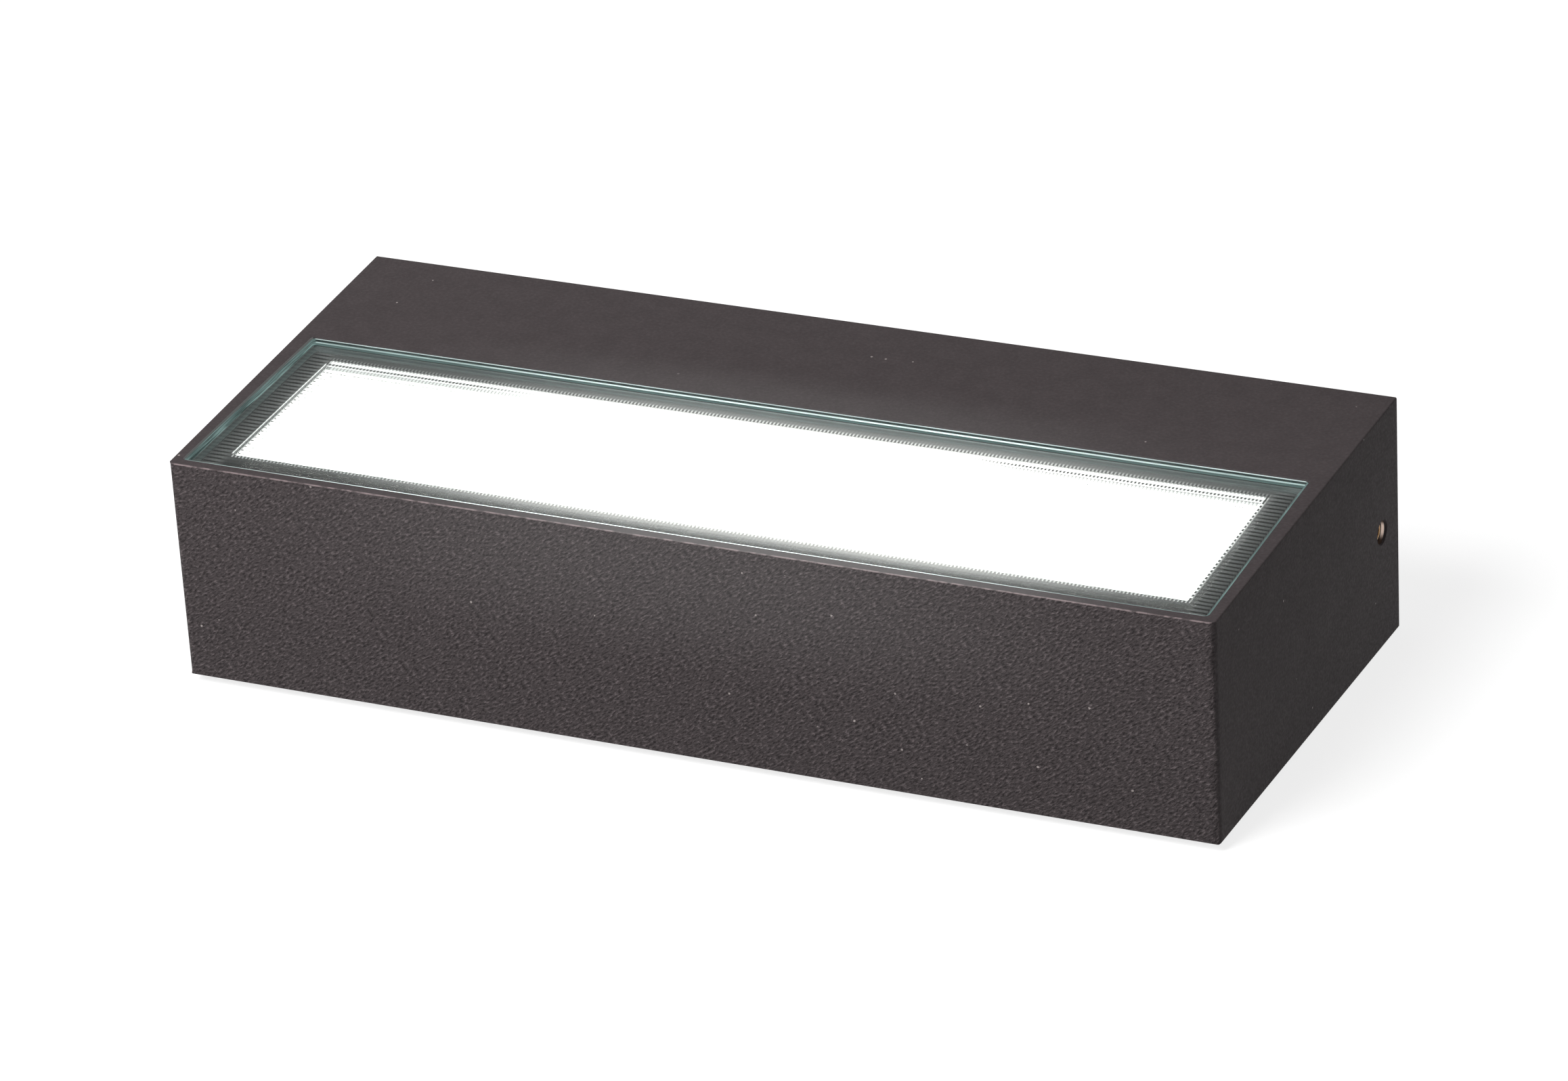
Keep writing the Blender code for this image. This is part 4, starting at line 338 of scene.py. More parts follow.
def textured_powder_coat(settings):
    """Fine-texture polyester powder, sprayed on the casting and baked.

    The grains melt into small bumps that run a little downhill, so the front is matt; on it a
    painted highlight lightens each bump where it turns to the lamp, and painted shade darkens
    the hollow behind it. The real grains are about 0.5 mm; they are drawn coarser here, so that
    they still show in a small picture.
    The top and the ends are smoother. The coat is thin and lighter along the sharp front edge,
    partly from wear and partly as a painted highlight, and close to the window it catches a
    little stray light. The thread in the screw holes is bare, and a painted highlight stands
    for the lamp on its first turns.
    """
    material, tree, place = start_material("textured_powder_coat")
    colour = tuple(settings.coat_colour)
    parts = add_node(tree, "SeparateXYZ", (place,)).outputs

    # Grains, full on the front and faint elsewhere
    front = add_node(tree, "VectorMath", (
        add_node(tree, "TexCoord").outputs["Normal"], (0.0, -1.0, 0.0)), operation="DOT_PRODUCT")
    facing = add_node(tree, "Math", (
        add_node(tree, "MapRange", (front.outputs["Value"], 0.3, 0.9), **SMOOTH),
        add_node(tree, "MapRange", (
            parts["Y"], HOUSING_LOW.y + 0.002, HOUSING_LOW.y + 0.001), **SMOOTH)),
        operation="MULTIPLY")
    front_grain_weight = add_node(tree, "MapRange", {"Value": facing, "To Min": 0.1, "To Max": 1.0})
    slanted = add_node(tree, "Mapping", {
        "Vector": place, "Rotation": (0.0, math.radians(-35), 0.0), "Scale": (1.5, 1.0, 0.75)},
        vector_type="TEXTURE")
    grains = add_node(tree, "TexNoise", {
        "Vector": slanted, "Scale": per_metre(settings.grain), "Detail": 2.0, "Roughness": 0.55})
    swell = add_node(tree, "TexNoise", {
        "Vector": place, "Scale": per_metre(0.006), "Detail": 3.0, "Roughness": 0.5})
    grain_bump = add_node(tree, "Bump", {
        "Strength": front_grain_weight, "Distance": settings.grain_height, "Height": grains})
    bump = add_node(tree, "Bump", {
        "Strength": 0.3, "Distance": 0.00006, "Height": swell, "Normal": grain_bump})

    # Colour: painted shade in each hollow and a painted highlight on each crest, mostly on the
    # front, and a few pale specks
    mottle_and_painted_grain_light = add_node(tree, "Mix", (
        add_node(tree, "MapRange", (swell, 0.35, 0.65), **SMOOTH),
        shade(colour, 0.96), shade(colour, 1.04)), data_type="RGBA")
    # painted shade in the hollows of the grains, painted highlight on their crests
    for low, high, tone in ((0.5, 0.3, 0.3), (0.52, 0.72, 2.6)):
        share = add_node(tree, "Math", (
            add_node(tree, "MapRange", (grains, low, high, 0.0, 0.8), **SMOOTH), front_grain_weight),
            operation="MULTIPLY")
        mottle_and_painted_grain_light = add_node(tree, "Mix", (share, mottle_and_painted_grain_light, shade(colour, tone)), data_type="RGBA")
    specks = add_node(tree, "TexVoronoi", {"Vector": place, "Scale": per_metre(0.007)})
    chosen = add_node(tree, "Math", (
        add_node(tree, "MapRange", (specks.outputs["Distance"], 0.05, 0.03), **SMOOTH),
        add_node(tree, "MapRange", (specks.outputs["Color"], 0.55, 0.6), **SMOOTH)),
        operation="MULTIPLY")
    specked = add_node(tree, "Mix", (chosen, mottle_and_painted_grain_light, linear("a39a98")), data_type="RGBA")

    # Lighter along the upper front edge: partly thin, worn coat, partly a painted highlight
    flat = add_node(tree, "VectorMath", (place, END_VIEW), operation="MULTIPLY")
    from_edge = add_node(tree, "VectorMath", (
        flat, (0.0, HOUSING_LOW.y, HOUSING_HIGH.z - FACE_DRAFT)), operation="DISTANCE")
    patchy = add_node(tree, "TexNoise", {
        "Vector": place, "Scale": per_metre(0.002), "Detail": 3.0})
    edge_wear_and_highlight = add_node(tree, "Math", (
        add_node(tree, "MapRange", (from_edge.outputs["Value"], 0.00034, 0.00022), **SMOOTH),
        add_node(tree, "MapRange", (patchy, 0.35, 0.6, 0.1, 0.8), **SMOOTH)), operation="MULTIPLY")
    finished = add_node(tree, "Mix", (edge_wear_and_highlight, specked, linear("8d7f80")), data_type="RGBA")

    # Bare thread in the screw holes, with a painted highlight at one height where it faces the lamp
    from_axis = add_node(tree, "VectorMath", (flat, SCREW_AXIS), operation="DISTANCE")
    outward = distance_from(tree, parts["X"], 0.0)
    bare = add_node(tree, "Math", (
        add_node(tree, "MapRange", (
            from_axis.outputs["Value"], HOLE_RADIUS, HOLE_RADIUS - 0.0001), **SMOOTH),
        add_node(tree, "MapRange", (
            outward, SCREW_HIGH.x + 0.0008, SCREW_HIGH.x + 0.0006), **SMOOTH)),
        operation="MULTIPLY")
    past_screw = add_node(tree, "MapRange", (
        outward, SCREW_HIGH.x - 0.0001, SCREW_HIGH.x + 0.0001), **SMOOTH)
    inside = add_node(tree, "Math", (bare, past_screw), operation="MULTIPLY")
    thread_highlight_band = add_node(tree, "MapRange", (
        distance_from(tree, parts["Z"], SCREW_AXIS[2] - 0.0004), 0.0022, 0.0006, 0.0, 0.5),
        **SMOOTH)
    painted_thread_highlight = add_node(tree, "Math", (inside, thread_highlight_band), operation="MULTIPLY")

    shader = add_node(tree, "BsdfPrincipled", {
        "Base Color": add_node(tree, "Mix", (inside, finished, linear("6f6561")), data_type="RGBA"),
        "Metallic": inside,
        "Roughness": add_node(tree, "MapRange", (grains, 0.3, 0.7, 0.72, 0.6), **SMOOTH),
        "IOR": 1.5, "Specular IOR Level": 0.12, "Normal": bump,
        "Emission Color": add_node(tree, "Mix", (
            inside, linear("f0f2f0"), linear("f6dccd")), data_type="RGBA"),
        "Emission Strength": add_node(tree, "Math", (
            stray_light(tree, place), painted_thread_highlight), operation="MAXIMUM")})
    add_node(tree, "OutputMaterial", {"Surface": shader})
    return material


def float_glass():
    """Clear tempered float glass: fire-polished faces that sharpen every reflection.

    Tempering rolls leave a swell of a few micrometres, about 30 mm long.
    """
    material, tree, place = start_material("float_glass")
    swell = add_node(tree, "TexNoise", {"Vector": place, "Scale": per_metre(0.03), "Detail": 1.0})
    bump = add_node(tree, "Bump", {"Strength": 0.3, "Distance": 0.00002, "Height": swell})
    haze = add_node(tree, "TexNoise", {"Vector": place, "Scale": per_metre(0.02), "Detail": 4.0})
    shader = add_node(tree, "BsdfPrincipled", {
        "Base Color": linear("fbfefd"),
        "Roughness": add_node(tree, "MapRange", (haze, 0.5, 0.8, 0.0, 0.02), **SMOOTH),
        "IOR": 1.52, "Transmission Weight": 1.0, "Normal": bump})
    add_node(tree, "OutputMaterial", {"Surface": shader})
    return material


def ground_glass_edge(settings):
    """Glass edge ground with a diamond wheel: dark green-blue, with thin light lines.

    Light from the window runs inside the pane. It leaves at the upper chamfer and mirrors once
    more low on the edge, so two pale lines show, with dark glass between them. Near the left
    end the pane is seen along its thickness, and the lines are finer and more in number.
    """
    material, tree, place = start_material("ground_glass_edge")
    colour = tuple(settings.edge_colour)
    parts = add_node(tree, "SeparateXYZ", (place,)).outputs
    height = add_node(tree, "VectorMath", (place, TOP_NORMAL), operation="DOT_PRODUCT")
    depth = add_node(tree, "Math", (
        TOP_NORMAL.dot(TOP_ORIGIN), height.outputs["Value"]), operation="SUBTRACT")

    # Rear edge: a line at the upper chamfer, one low down, and a faint foot
    top_line = add_node(tree, "MapRange", (
        depth, GLASS_DROP + 0.0014, GLASS_DROP + 0.0011), **SMOOTH)
    low_line = add_node(tree, "MapRange", (
        distance_from(tree, depth, EDGE_LINE_DEPTH), 0.0007, 0.0004, 0.0, 1.1), **SMOOTH)
    rear_middle = add_node(tree, "MapRange", (
        distance_from(tree, parts["X"], REAR_EDGE_GLOW), 0.12, 0.02, 0.65, 1.4), **SMOOTH)
    low_lit = add_node(tree, "Math", (low_line, rear_middle), operation="MULTIPLY")
    lines = add_node(tree, "Math", (top_line, low_lit), operation="MAXIMUM")
    foot = add_node(tree, "MapRange", (
        depth, EDGE_LINE_DEPTH, GLASS_THICKNESS, 0.03, 0.2), **SMOOTH)
    rear_lit = add_node(tree, "Math", (lines, foot), operation="MAXIMUM")

    # Front edge: only its upper chamfer shows, brightest in the middle
    front_middle = add_node(tree, "MapRange", (
        distance_from(tree, parts["X"], FRONT_EDGE_GLOW), 0.122, 0.03, 0.26, 3.7), **SMOOTH)
    chamfer_line = add_node(tree, "MapRange", (
        depth, GLASS_DROP + 0.0006, GLASS_DROP + 0.0004), **SMOOTH)
    front_lit = add_node(tree, "Math", (chamfer_line, front_middle), operation="MULTIPLY")

    # Ends: fine lines, as the wheel left them
    streaks = add_node(tree, "TexNoise", {
        "Vector": add_node(tree, "VectorMath", (place, (0.04, 0.04, 1.0)), operation="MULTIPLY"),
        "Scale": per_metre(0.0005), "Detail": 3.0, "Roughness": 0.6})
    fine = add_node(tree, "MapRange", (streaks, 0.4, 0.6, 0.06, 0.36), **SMOOTH)
    end_line = add_node(tree, "Math", (top_line, 0.31), operation="MULTIPLY")
    end_lit = add_node(tree, "Math", (fine, end_line), operation="MAXIMUM")

    at_front = add_node(tree, "MapRange", (
        parts["Y"], GLASS_LOW.y + 0.002, GLASS_LOW.y + 0.001), **SMOOTH)
    at_end = add_node(tree, "MapRange", (
        add_node(tree, "Math", (parts["X"],), operation="ABSOLUTE"),
        GLASS_HIGH.x - 0.0006, GLASS_HIGH.x - 0.0003), **SMOOTH)
    side_lit = add_node(tree, "Mix", (at_front, rear_lit, front_lit), data_type="FLOAT")
    shown = add_node(tree, "Mix", (at_end, side_lit, end_lit), data_type="FLOAT")
    streaked = add_node(tree, "Math", (
        shown, add_node(tree, "MapRange", (streaks, 0.35, 0.65, 0.75, 1.2), **SMOOTH)),
        operation="MULTIPLY")
    shader = add_node(tree, "BsdfPrincipled", {
        "Base Color": shade(colour, 0.06), "Roughness": 0.45, "IOR": 1.52,
        "Normal": add_node(tree, "Bump", {
            "Strength": 0.4, "Distance": 0.00002, "Height": streaks}),
        "Emission Color": add_node(tree, "Mix", (
            shown, colour, linear("d9e8e6")), data_type="RGBA"),
        "Emission Strength": streaked})
    add_node(tree, "OutputMaterial", {"Surface": shader})
    return material


def on_sheet(tree, place):
    """Places on the sheet, in metres: along it, and across it from the window's middle."""
    along = add_node(tree, "SeparateXYZ", (place,)).outputs["X"]
    across = add_node(tree, "VectorMath", (place, TOP_ACROSS), operation="DOT_PRODUCT")
    middle = TOP_ACROSS.dot(TOP_ORIGIN) + WINDOW_SHIFT
    return along, add_node(tree, "Math", (across.outputs["Value"], middle), operation="SUBTRACT")


def past_window(tree, value, size):
    """How far a place lies past the nearer edge of the window, in metres; negative inside it."""
    distance = add_node(tree, "Math", (value,), operation="ABSOLUTE")
    return add_node(tree, "Math", (distance, size / 2), operation="SUBTRACT")


def waves(tree, value, pitch):
    """A wave from -1 to 1 along a value, with this distance from crest to crest."""
    turns = add_node(tree, "Math", (value, 2 * math.pi / pitch), operation="MULTIPLY")
    return add_node(tree, "Math", (turns,), operation="SINE")


def clear_ribbed_acrylic(settings):
    """Clear extruded acrylic over the window: fine notches across its ribs break the light up."""
    material, tree, place = start_material("clear_ribbed_acrylic")
    along = add_node(tree, "SeparateXYZ", (place,)).outputs["X"]
    notch = waves(tree, along, settings.notch_pitch)
    bump = add_node(tree, "Bump", {"Strength": 1.0, "Distance": 0.000012, "Height": notch})
    shader = add_node(tree, "BsdfPrincipled", {
        "Base Color": linear("f9fbfa"), "Roughness": 0.04, "IOR": 1.49,
        "Transmission Weight": 1.0, "Normal": bump})
    add_node(tree, "OutputMaterial", {"Surface": shader})
    return material


def acrylic_over_ledge(settings):
    """Border of the ribbed sheet, which lies on the dark ledge round the window.

    Each rib works as a lens that spreads a little of the window's light: a grey band with a
    dark groove beside it. The border is lighter close to the window and in its middle, and the
    ribs end in a row of light dots at the window's ends. Along the rear the notches glint beside
    the window, and the first groove inside it shows as a fine dashed line.
    """
    material, tree, place = start_material("acrylic_over_ledge")
    along, across = on_sheet(tree, place)
    past_end = past_window(tree, along, WINDOW_LENGTH)
    past_side = past_window(tree, across, WINDOW_WIDTH)
    wander = add_node(tree, "TexNoise", {
        "Vector": place, "Scale": per_metre(0.004), "Detail": 1.0})
    sway = add_node(tree, "Math", (wander, 0.0004), operation="MULTIPLY")
    rib = waves(tree, add_node(tree, "Math", (sway, across), operation="ADD"), settings.rib_pitch)
    notch = waves(tree, along, settings.notch_pitch)
    between_ends = add_node(tree, "MapRange", (past_end, 0.0, -0.0005), **SMOOTH)
    rear = add_node(tree, "MapRange", (across, -HALF_CHANGE, HALF_CHANGE), **SMOOTH)
    rear_between = add_node(tree, "Math", (rear, between_ends), operation="MULTIPLY")

    # Bands of the ribs, lighter close to the window, in dashes where the notches cross them
    near = add_node(tree, "Math", (
        add_node(tree, "MapRange", (past_side, 0.003, 0.0014), **SMOOTH), rear_between),
        operation="MULTIPLY")
    dash_low = add_node(tree, "MapRange", (near, 0.0, 1.0, 0.85, 0.35), **SMOOTH)
    dash_high = add_node(tree, "MapRange", (near, 0.0, 1.0, 1.0, 1.6), **SMOOTH)
    dash = add_node(tree, "MapRange", (notch, -0.6, 0.8, dash_low, dash_high), **SMOOTH)
    at_ends = add_node(tree, "MapRange", (
        across, -HALF_CHANGE, HALF_CHANGE, 0.12, 0.3), **SMOOTH)
    centred = add_node(tree, "MapRange", (
        distance_from(tree, along, BORDER_GLOW), WINDOW_LENGTH / 2, 0.03, at_ends, 1.07), **SMOOTH)
    at_rim = add_node(tree, "MapRange", (
        across, -HALF_CHANGE, HALF_CHANGE, 0.14, 0.185), **SMOOTH)
    side_base = add_node(tree, "MapRange", (past_side, 0.0055, -0.0008, at_rim, 0.9), **SMOOTH)
    side_glow = add_node(tree, "Math", (side_base, centred), operation="MULTIPLY")
    end_glow = add_node(tree, "MapRange", (past_end, 0.006, 0.0, 0.09, 0.2), **SMOOTH)
    past_corner = add_node(tree, "MapRange", (past_end, -0.001, 0.002), **SMOOTH)
    glow = add_node(tree, "Mix", (past_corner, side_glow, end_glow), data_type="FLOAT")
    groove = add_node(tree, "MapRange", (rib, -0.6, 0.4, 1.0, 0.0), **SMOOTH)
    depth = add_node(tree, "MapRange", {"Value": past_corner, "To Min": 0.15, "To Max": 1.0})
    darker = add_node(tree, "Math", (groove, depth), operation="MULTIPLY")
    band = add_node(tree, "Math", (1.0, darker), operation="SUBTRACT")
    glow_band = add_node(tree, "Math", (glow, band), operation="MULTIPLY")
    banded = add_node(tree, "Math", (glow_band, dash), operation="MULTIPLY")

    # Light dots at the right end of the window, a thin line at its left end
    crest = add_node(tree, "MapRange", (
        waves(tree, across, settings.rib_pitch), 0.2, 0.7, 0.0, 2.0), **SMOOTH)
    right_row = add_node(tree, "Math", (
        add_node(tree, "MapRange", (
            past_end, 0.0004 - RIGHT_OVERLAP, 0.0008 - RIGHT_OVERLAP, 1.0, 0.0), **SMOOTH),
        crest), operation="MULTIPLY")
    left_line = add_node(tree, "Math", (
        add_node(tree, "MapRange", (past_end, 0.0002, 0.0), **SMOOTH),
        add_node(tree, "MapRange", (past_end, -0.0004, -0.0002), **SMOOTH)), operation="MULTIPLY")
    left = add_node(tree, "MapRange", (along, 0.001, -0.001), **SMOOTH)
    end_marks = add_node(tree, "Mix", (left, right_row, left_line), data_type="FLOAT")
    between_sides = add_node(tree, "MapRange", (past_side, -0.0006, -0.0012), **SMOOTH)
    at_end = add_node(tree, "Math", (end_marks, between_sides), operation="MULTIPLY")

    # Notches that glint beside the window, most along its rear
    beside = add_node(tree, "Math", (
        add_node(tree, "MapRange", (past_side, 0.0008, 0.0004), **SMOOTH), between_ends),
        operation="MULTIPLY")
    at_side = add_node(tree, "Math", (
        beside, add_node(tree, "MapRange", (notch, -0.4, 0.6, 0.0, 0.5), **SMOOTH)),
        operation="MULTIPLY")
    tooth = add_node(tree, "Math", (notch, 0.0004), operation="MULTIPLY")
    toothed = add_node(tree, "Math", (tooth, past_side), operation="ADD")
    rear_edge = add_node(tree, "Math", (
        add_node(tree, "MapRange", (toothed, 0.001, 0.0002, 0.0, 1.2), **SMOOTH), rear),
        operation="MULTIPLY")
    rear_lit = add_node(tree, "Math", (
        rear_edge,
        add_node(tree, "MapRange", (past_end, 0.0003 - RIGHT_OVERLAP, -RIGHT_OVERLAP), **SMOOTH)),
        operation="MULTIPLY")
    marks = add_node(tree, "Math", (at_end, at_side), operation="MAXIMUM")
    sparks = add_node(tree, "Math", (marks, rear_lit), operation="MAXIMUM")
    bright = add_node(tree, "Math", (sparks, 1.2), operation="MULTIPLY")
    summed = add_node(tree, "Math", (banded, bright), operation="ADD")

    # First groove inside the window: a dashed dark line that fades in the middle
    from_fade = distance_from(tree, along, GROOVE_FADE)
    off_middle = add_node(tree, "Math", (
        add_node(tree, "MapRange", (from_fade, 0.045, 0.07), **SMOOTH), rear_between),
        operation="MULTIPLY")
    height = add_node(tree, "VectorMath", (place, TOP_NORMAL), operation="DOT_PRODUCT")
    top_height = TOP_NORMAL.dot(TOP_ORIGIN) + COVER_TOP
    groove_depth = add_node(tree, "MapRange", (
        height.outputs["Value"], top_height - 0.001, top_height - 0.0005, 0.6, 0.95), **SMOOTH)
    from_groove = distance_from(tree, past_side, -FIRST_GROOVE)
    first_groove = add_node(tree, "Math", (
        add_node(tree, "MapRange", (from_groove, 0.0006, 0.0003, 0.0, groove_depth), **SMOOTH),
        add_node(tree, "MapRange", (notch, 0.5, -0.5, 0.5, 1.0), **SMOOTH)), operation="MULTIPLY")
    dimmed = add_node(tree, "Math", (first_groove, off_middle), operation="MULTIPLY")
    kept = add_node(tree, "Math", (1.0, dimmed), operation="SUBTRACT")
    lit = add_node(tree, "Math", (summed, kept), operation="MULTIPLY")

    shader = add_node(tree, "BsdfPrincipled", {
        "Base Color": add_node(tree, "Mix", (
            add_node(tree, "MapRange", (rib, -0.9, 0.6), **SMOOTH),
            linear("141716"), linear("2b302f")), data_type="RGBA"),
        "Roughness": add_node(tree, "MapRange", (notch, -1.0, 1.0, 0.45, 0.55), **SMOOTH),
        "IOR": 1.49, "Specular IOR Level": 0.1,
        "Emission Color": add_node(tree, "Mix", (
            glow, linear("e6e9e7"), linear("fffdfa")), data_type="RGBA"),
        "Emission Strength": lit})
    add_node(tree, "OutputMaterial", {"Surface": shader})
    return material


def lit_opal_acrylic(settings):
    """Opal cast acrylic lit from behind: even and milky, with soft clouds a little less bright."""
    material, tree, place = start_material("lit_opal_acrylic")
    colour = tuple(settings.light_colour)
    cloud = add_node(tree, "TexNoise", {"Vector": place, "Scale": per_metre(0.03), "Detail": 2.0})
    glow = add_node(tree, "Mix", (
        add_node(tree, "MapRange", (cloud, 0.3, 0.7), **SMOOTH),
        colour, shade(colour, 0.93)), data_type="RGBA")
    shader = add_node(tree, "BsdfPrincipled", {
        "Base Color": linear("f4f4f1"), "Roughness": 0.35, "IOR": 1.49,
        "Emission Color": glow, "Emission Strength": settings.strength})
    add_node(tree, "OutputMaterial", {"Surface": shader})
    return material


def plated_metal(name, light, dark, roughness, grain, direction):
    """Plated steel or brass: bright, with a fine grain in the direction it was worked."""
    material, tree, place = start_material(name)
    streaks = add_node(tree, "TexNoise", {
        "Vector": add_node(tree, "VectorMath", (place, direction), operation="MULTIPLY"),
        "Scale": per_metre(grain), "Detail": 4.0, "Roughness": 0.65})
    clouds = add_node(tree, "TexNoise", {
        "Vector": place, "Scale": per_metre(0.009), "Detail": 3.0})
    cloudy = add_node(tree, "MapRange", (clouds, 0.35, 0.65), **SMOOTH)
    bump = add_node(tree, "Bump", {"Strength": 0.35, "Distance": 0.00002, "Height": streaks})
    shader = add_node(tree, "BsdfPrincipled", {
        "Base Color": add_node(tree, "Mix", (cloudy, light, dark), data_type="RGBA"),
        "Metallic": 1.0, "Normal": bump,
        "Roughness": add_node(tree, "MapRange", (
            streaks, 0.3, 0.7, roughness - 0.07, roughness + 0.09), **SMOOTH)})
    add_node(tree, "OutputMaterial", {"Surface": shader})
    return material


def nickel_set_screw():
    """Nickel-plated set screw: bright on the turned end face, with painted shade deep in its
    socket.
    """
    material, tree, place = start_material("nickel_plated_set_screw")
    flat = add_node(tree, "VectorMath", (place, END_VIEW), operation="MULTIPLY")
    from_axis = add_node(tree, "VectorMath", (flat, SCREW_AXIS), operation="DISTANCE")
    outward = distance_from(tree, add_node(tree, "SeparateXYZ", (place,)).outputs["X"], 0.0)
    turned = add_node(tree, "TexNoise", {
        "Vector": place, "Scale": per_metre(0.0004), "Detail": 3.0})
    past_socket = add_node(tree, "MapRange", (
        from_axis.outputs["Value"], SOCKET_RADIUS, SOCKET_RADIUS + 0.0003), **SMOOTH)
    plating = add_node(tree, "Mix", (
        past_socket, linear("b98f58"), linear("e2c39a")), data_type="RGBA")
    # Painted shade: deep in the socket the colour goes almost black
    painted_socket_shade = add_node(tree, "MapRange", (
        outward, SCREW_HIGH.x - 0.0007, SCREW_HIGH.x - 0.0014), **SMOOTH)
    colour = add_node(tree, "Mix", (painted_socket_shade, plating, linear("1d1713")), data_type="RGBA")
    bump = add_node(tree, "Bump", {"Strength": 0.3, "Distance": 0.00002, "Height": turned})
    shader = add_node(tree, "BsdfPrincipled", {
        "Base Color": colour, "Metallic": 0.75, "Normal": bump,
        "Roughness": add_node(tree, "MapRange", (turned, 0.3, 0.7, 0.45, 0.6), **SMOOTH)})
    add_node(tree, "OutputMaterial", {"Surface": shader})
    return material


def moulded(name, colour, roughness, grain, height, ior):
    """Moulded plastic or rubber: the tool's eroded surface leaves an even, soft grain."""
    material, tree, place = start_material(name)
    skin = add_node(tree, "TexNoise", {
        "Vector": place, "Scale": per_metre(grain), "Detail": 3.0, "Roughness": 0.55})
    flow = add_node(tree, "TexNoise", {
        "Vector": place, "Scale": per_metre(0.014), "Detail": 2.0, "Distortion": 0.6})
    tone = add_node(tree, "Mix", (
        add_node(tree, "MapRange", (flow, 0.3, 0.7), **SMOOTH),
        shade(colour, 0.93), shade(colour, 1.04)), data_type="RGBA")
    bump = add_node(tree, "Bump", {"Strength": 0.5, "Distance": height, "Height": skin})
    shader = add_node(tree, "BsdfPrincipled", {
        "Base Color": tone, "IOR": ior, "Normal": bump,
        "Roughness": add_node(tree, "MapRange", (
            skin, 0.3, 0.7, roughness - 0.06, roughness + 0.06), **SMOOTH)})
    add_node(tree, "OutputMaterial", {"Surface": shader})
    return material


def pressed_silicone(settings):
    """Grey silicone ring, poured under the glass: it glows a little beside the window.

    It set against the ribbed sheet; at the ends its painted glow follows the lines of the ribs.
    """
    material, tree, place = start_material("pressed_silicone")
    along, across = on_sheet(tree, place)
    skin = add_node(tree, "TexNoise", {
        "Vector": place, "Scale": per_metre(0.0008), "Detail": 3.0, "Roughness": 0.55})
    rib = waves(tree, across, settings.rib_pitch)
    at_end = add_node(tree, "MapRange", (
        past_window(tree, along, WINDOW_LENGTH), 0.0, 0.003), **SMOOTH)
    # painted glow in the lines of the ribs at the ends
    lines = add_node(tree, "Math", (
        add_node(tree, "MapRange", (rib, -0.6, 0.4, 0.01, 0.055), **SMOOTH), at_end),
        operation="MULTIPLY")
    middle = add_node(tree, "MapRange", (
        distance_from(tree, along, BORDER_GLOW), 0.12, 0.03, 0.0, 0.11), **SMOOTH)
    glow = add_node(tree, "Math", (lines, middle), operation="MAXIMUM")
    bump = add_node(tree, "Bump", {"Strength": 0.5, "Distance": 0.00002, "Height": skin})
    shader = add_node(tree, "BsdfPrincipled", {
        "Base Color": add_node(tree, "Mix", (
            skin, linear("4c5352"), linear("5e6664")), data_type="RGBA"),
        "Roughness": add_node(tree, "MapRange", (skin, 0.3, 0.7, 0.44, 0.56), **SMOOTH),
        "IOR": 1.41, "Normal": bump, "Emission Color": linear("f4f8f6"), "Emission Strength": glow})
    add_node(tree, "OutputMaterial", {"Surface": shader})
    return material


def closed_cell_foam():
    """Black closed-cell foam cord: skinless and cellular, so it swallows light."""
    material, tree, place = start_material("closed_cell_foam")
    cells = add_node(tree, "TexVoronoi", {"Vector": place, "Scale": per_metre(0.0005)})
    walls = add_node(tree, "MapRange", (cells.outputs["Distance"], 0.1, 0.6), **SMOOTH)
    bump = add_node(tree, "Bump", {"Strength": 0.8, "Distance": 0.0001, "Height": walls})
    tone = add_node(tree, "Mix", (walls, linear("17171a"), linear("2a2a2c")), data_type="RGBA")
    shader = add_node(tree, "BsdfPrincipled", {
        "Base Color": tone, "Roughness": 0.92, "IOR": 1.45, "Normal": bump})
    add_node(tree, "OutputMaterial", {"Surface": shader})
    return material


def masked_board(name, mask, print_colour, weave_height, chips=False):
    """Circuit board under solder mask: a glossy film that shows the weave or tracks below."""
    material, tree, place = start_material(name)
    weave = add_node(tree, "TexWave", {
        "Vector": place, "Scale": per_metre(0.0012), "Distortion": 0.4, "Detail": 1.0})
    tracks = add_node(tree, "TexBrick", {
        "Vector": place, "Scale": per_metre(0.012), "Color1": mask, "Color2": shade(mask, 1.15),
        "Mortar": print_colour, "Mortar Size": 0.02, "Brick Width": 0.9, "Row Height": 0.35})
    bump = add_node(tree, "Bump", {
        "Strength": 0.3, "Distance": weave_height, "Height": weave})
    colour = tracks.outputs["Color"]
    if chips:
        height = add_node(tree, "VectorMath", (place, TOP_NORMAL), operation="DOT_PRODUCT")
        level = TOP_NORMAL.dot(TOP_FACE @ Vector((0.0, 0.0, BOARD_TOP + CHIP_FOOT)))
        on_chip = add_node(tree, "MapRange", (
            height.outputs["Value"], level, level + CHIP_FOOT), **SMOOTH)
        colour = add_node(tree, "Mix", (on_chip, colour, linear("e9c65a")), data_type="RGBA")
    shader = add_node(tree, "BsdfPrincipled", {
        "Base Color": colour,
        "Roughness": add_node(tree, "MapRange", (weave, 0.0, 1.0, 0.25, 0.34), **SMOOTH),
        "IOR": 1.55, "Normal": bump})
    add_node(tree, "OutputMaterial", {"Surface": shader})
    return material


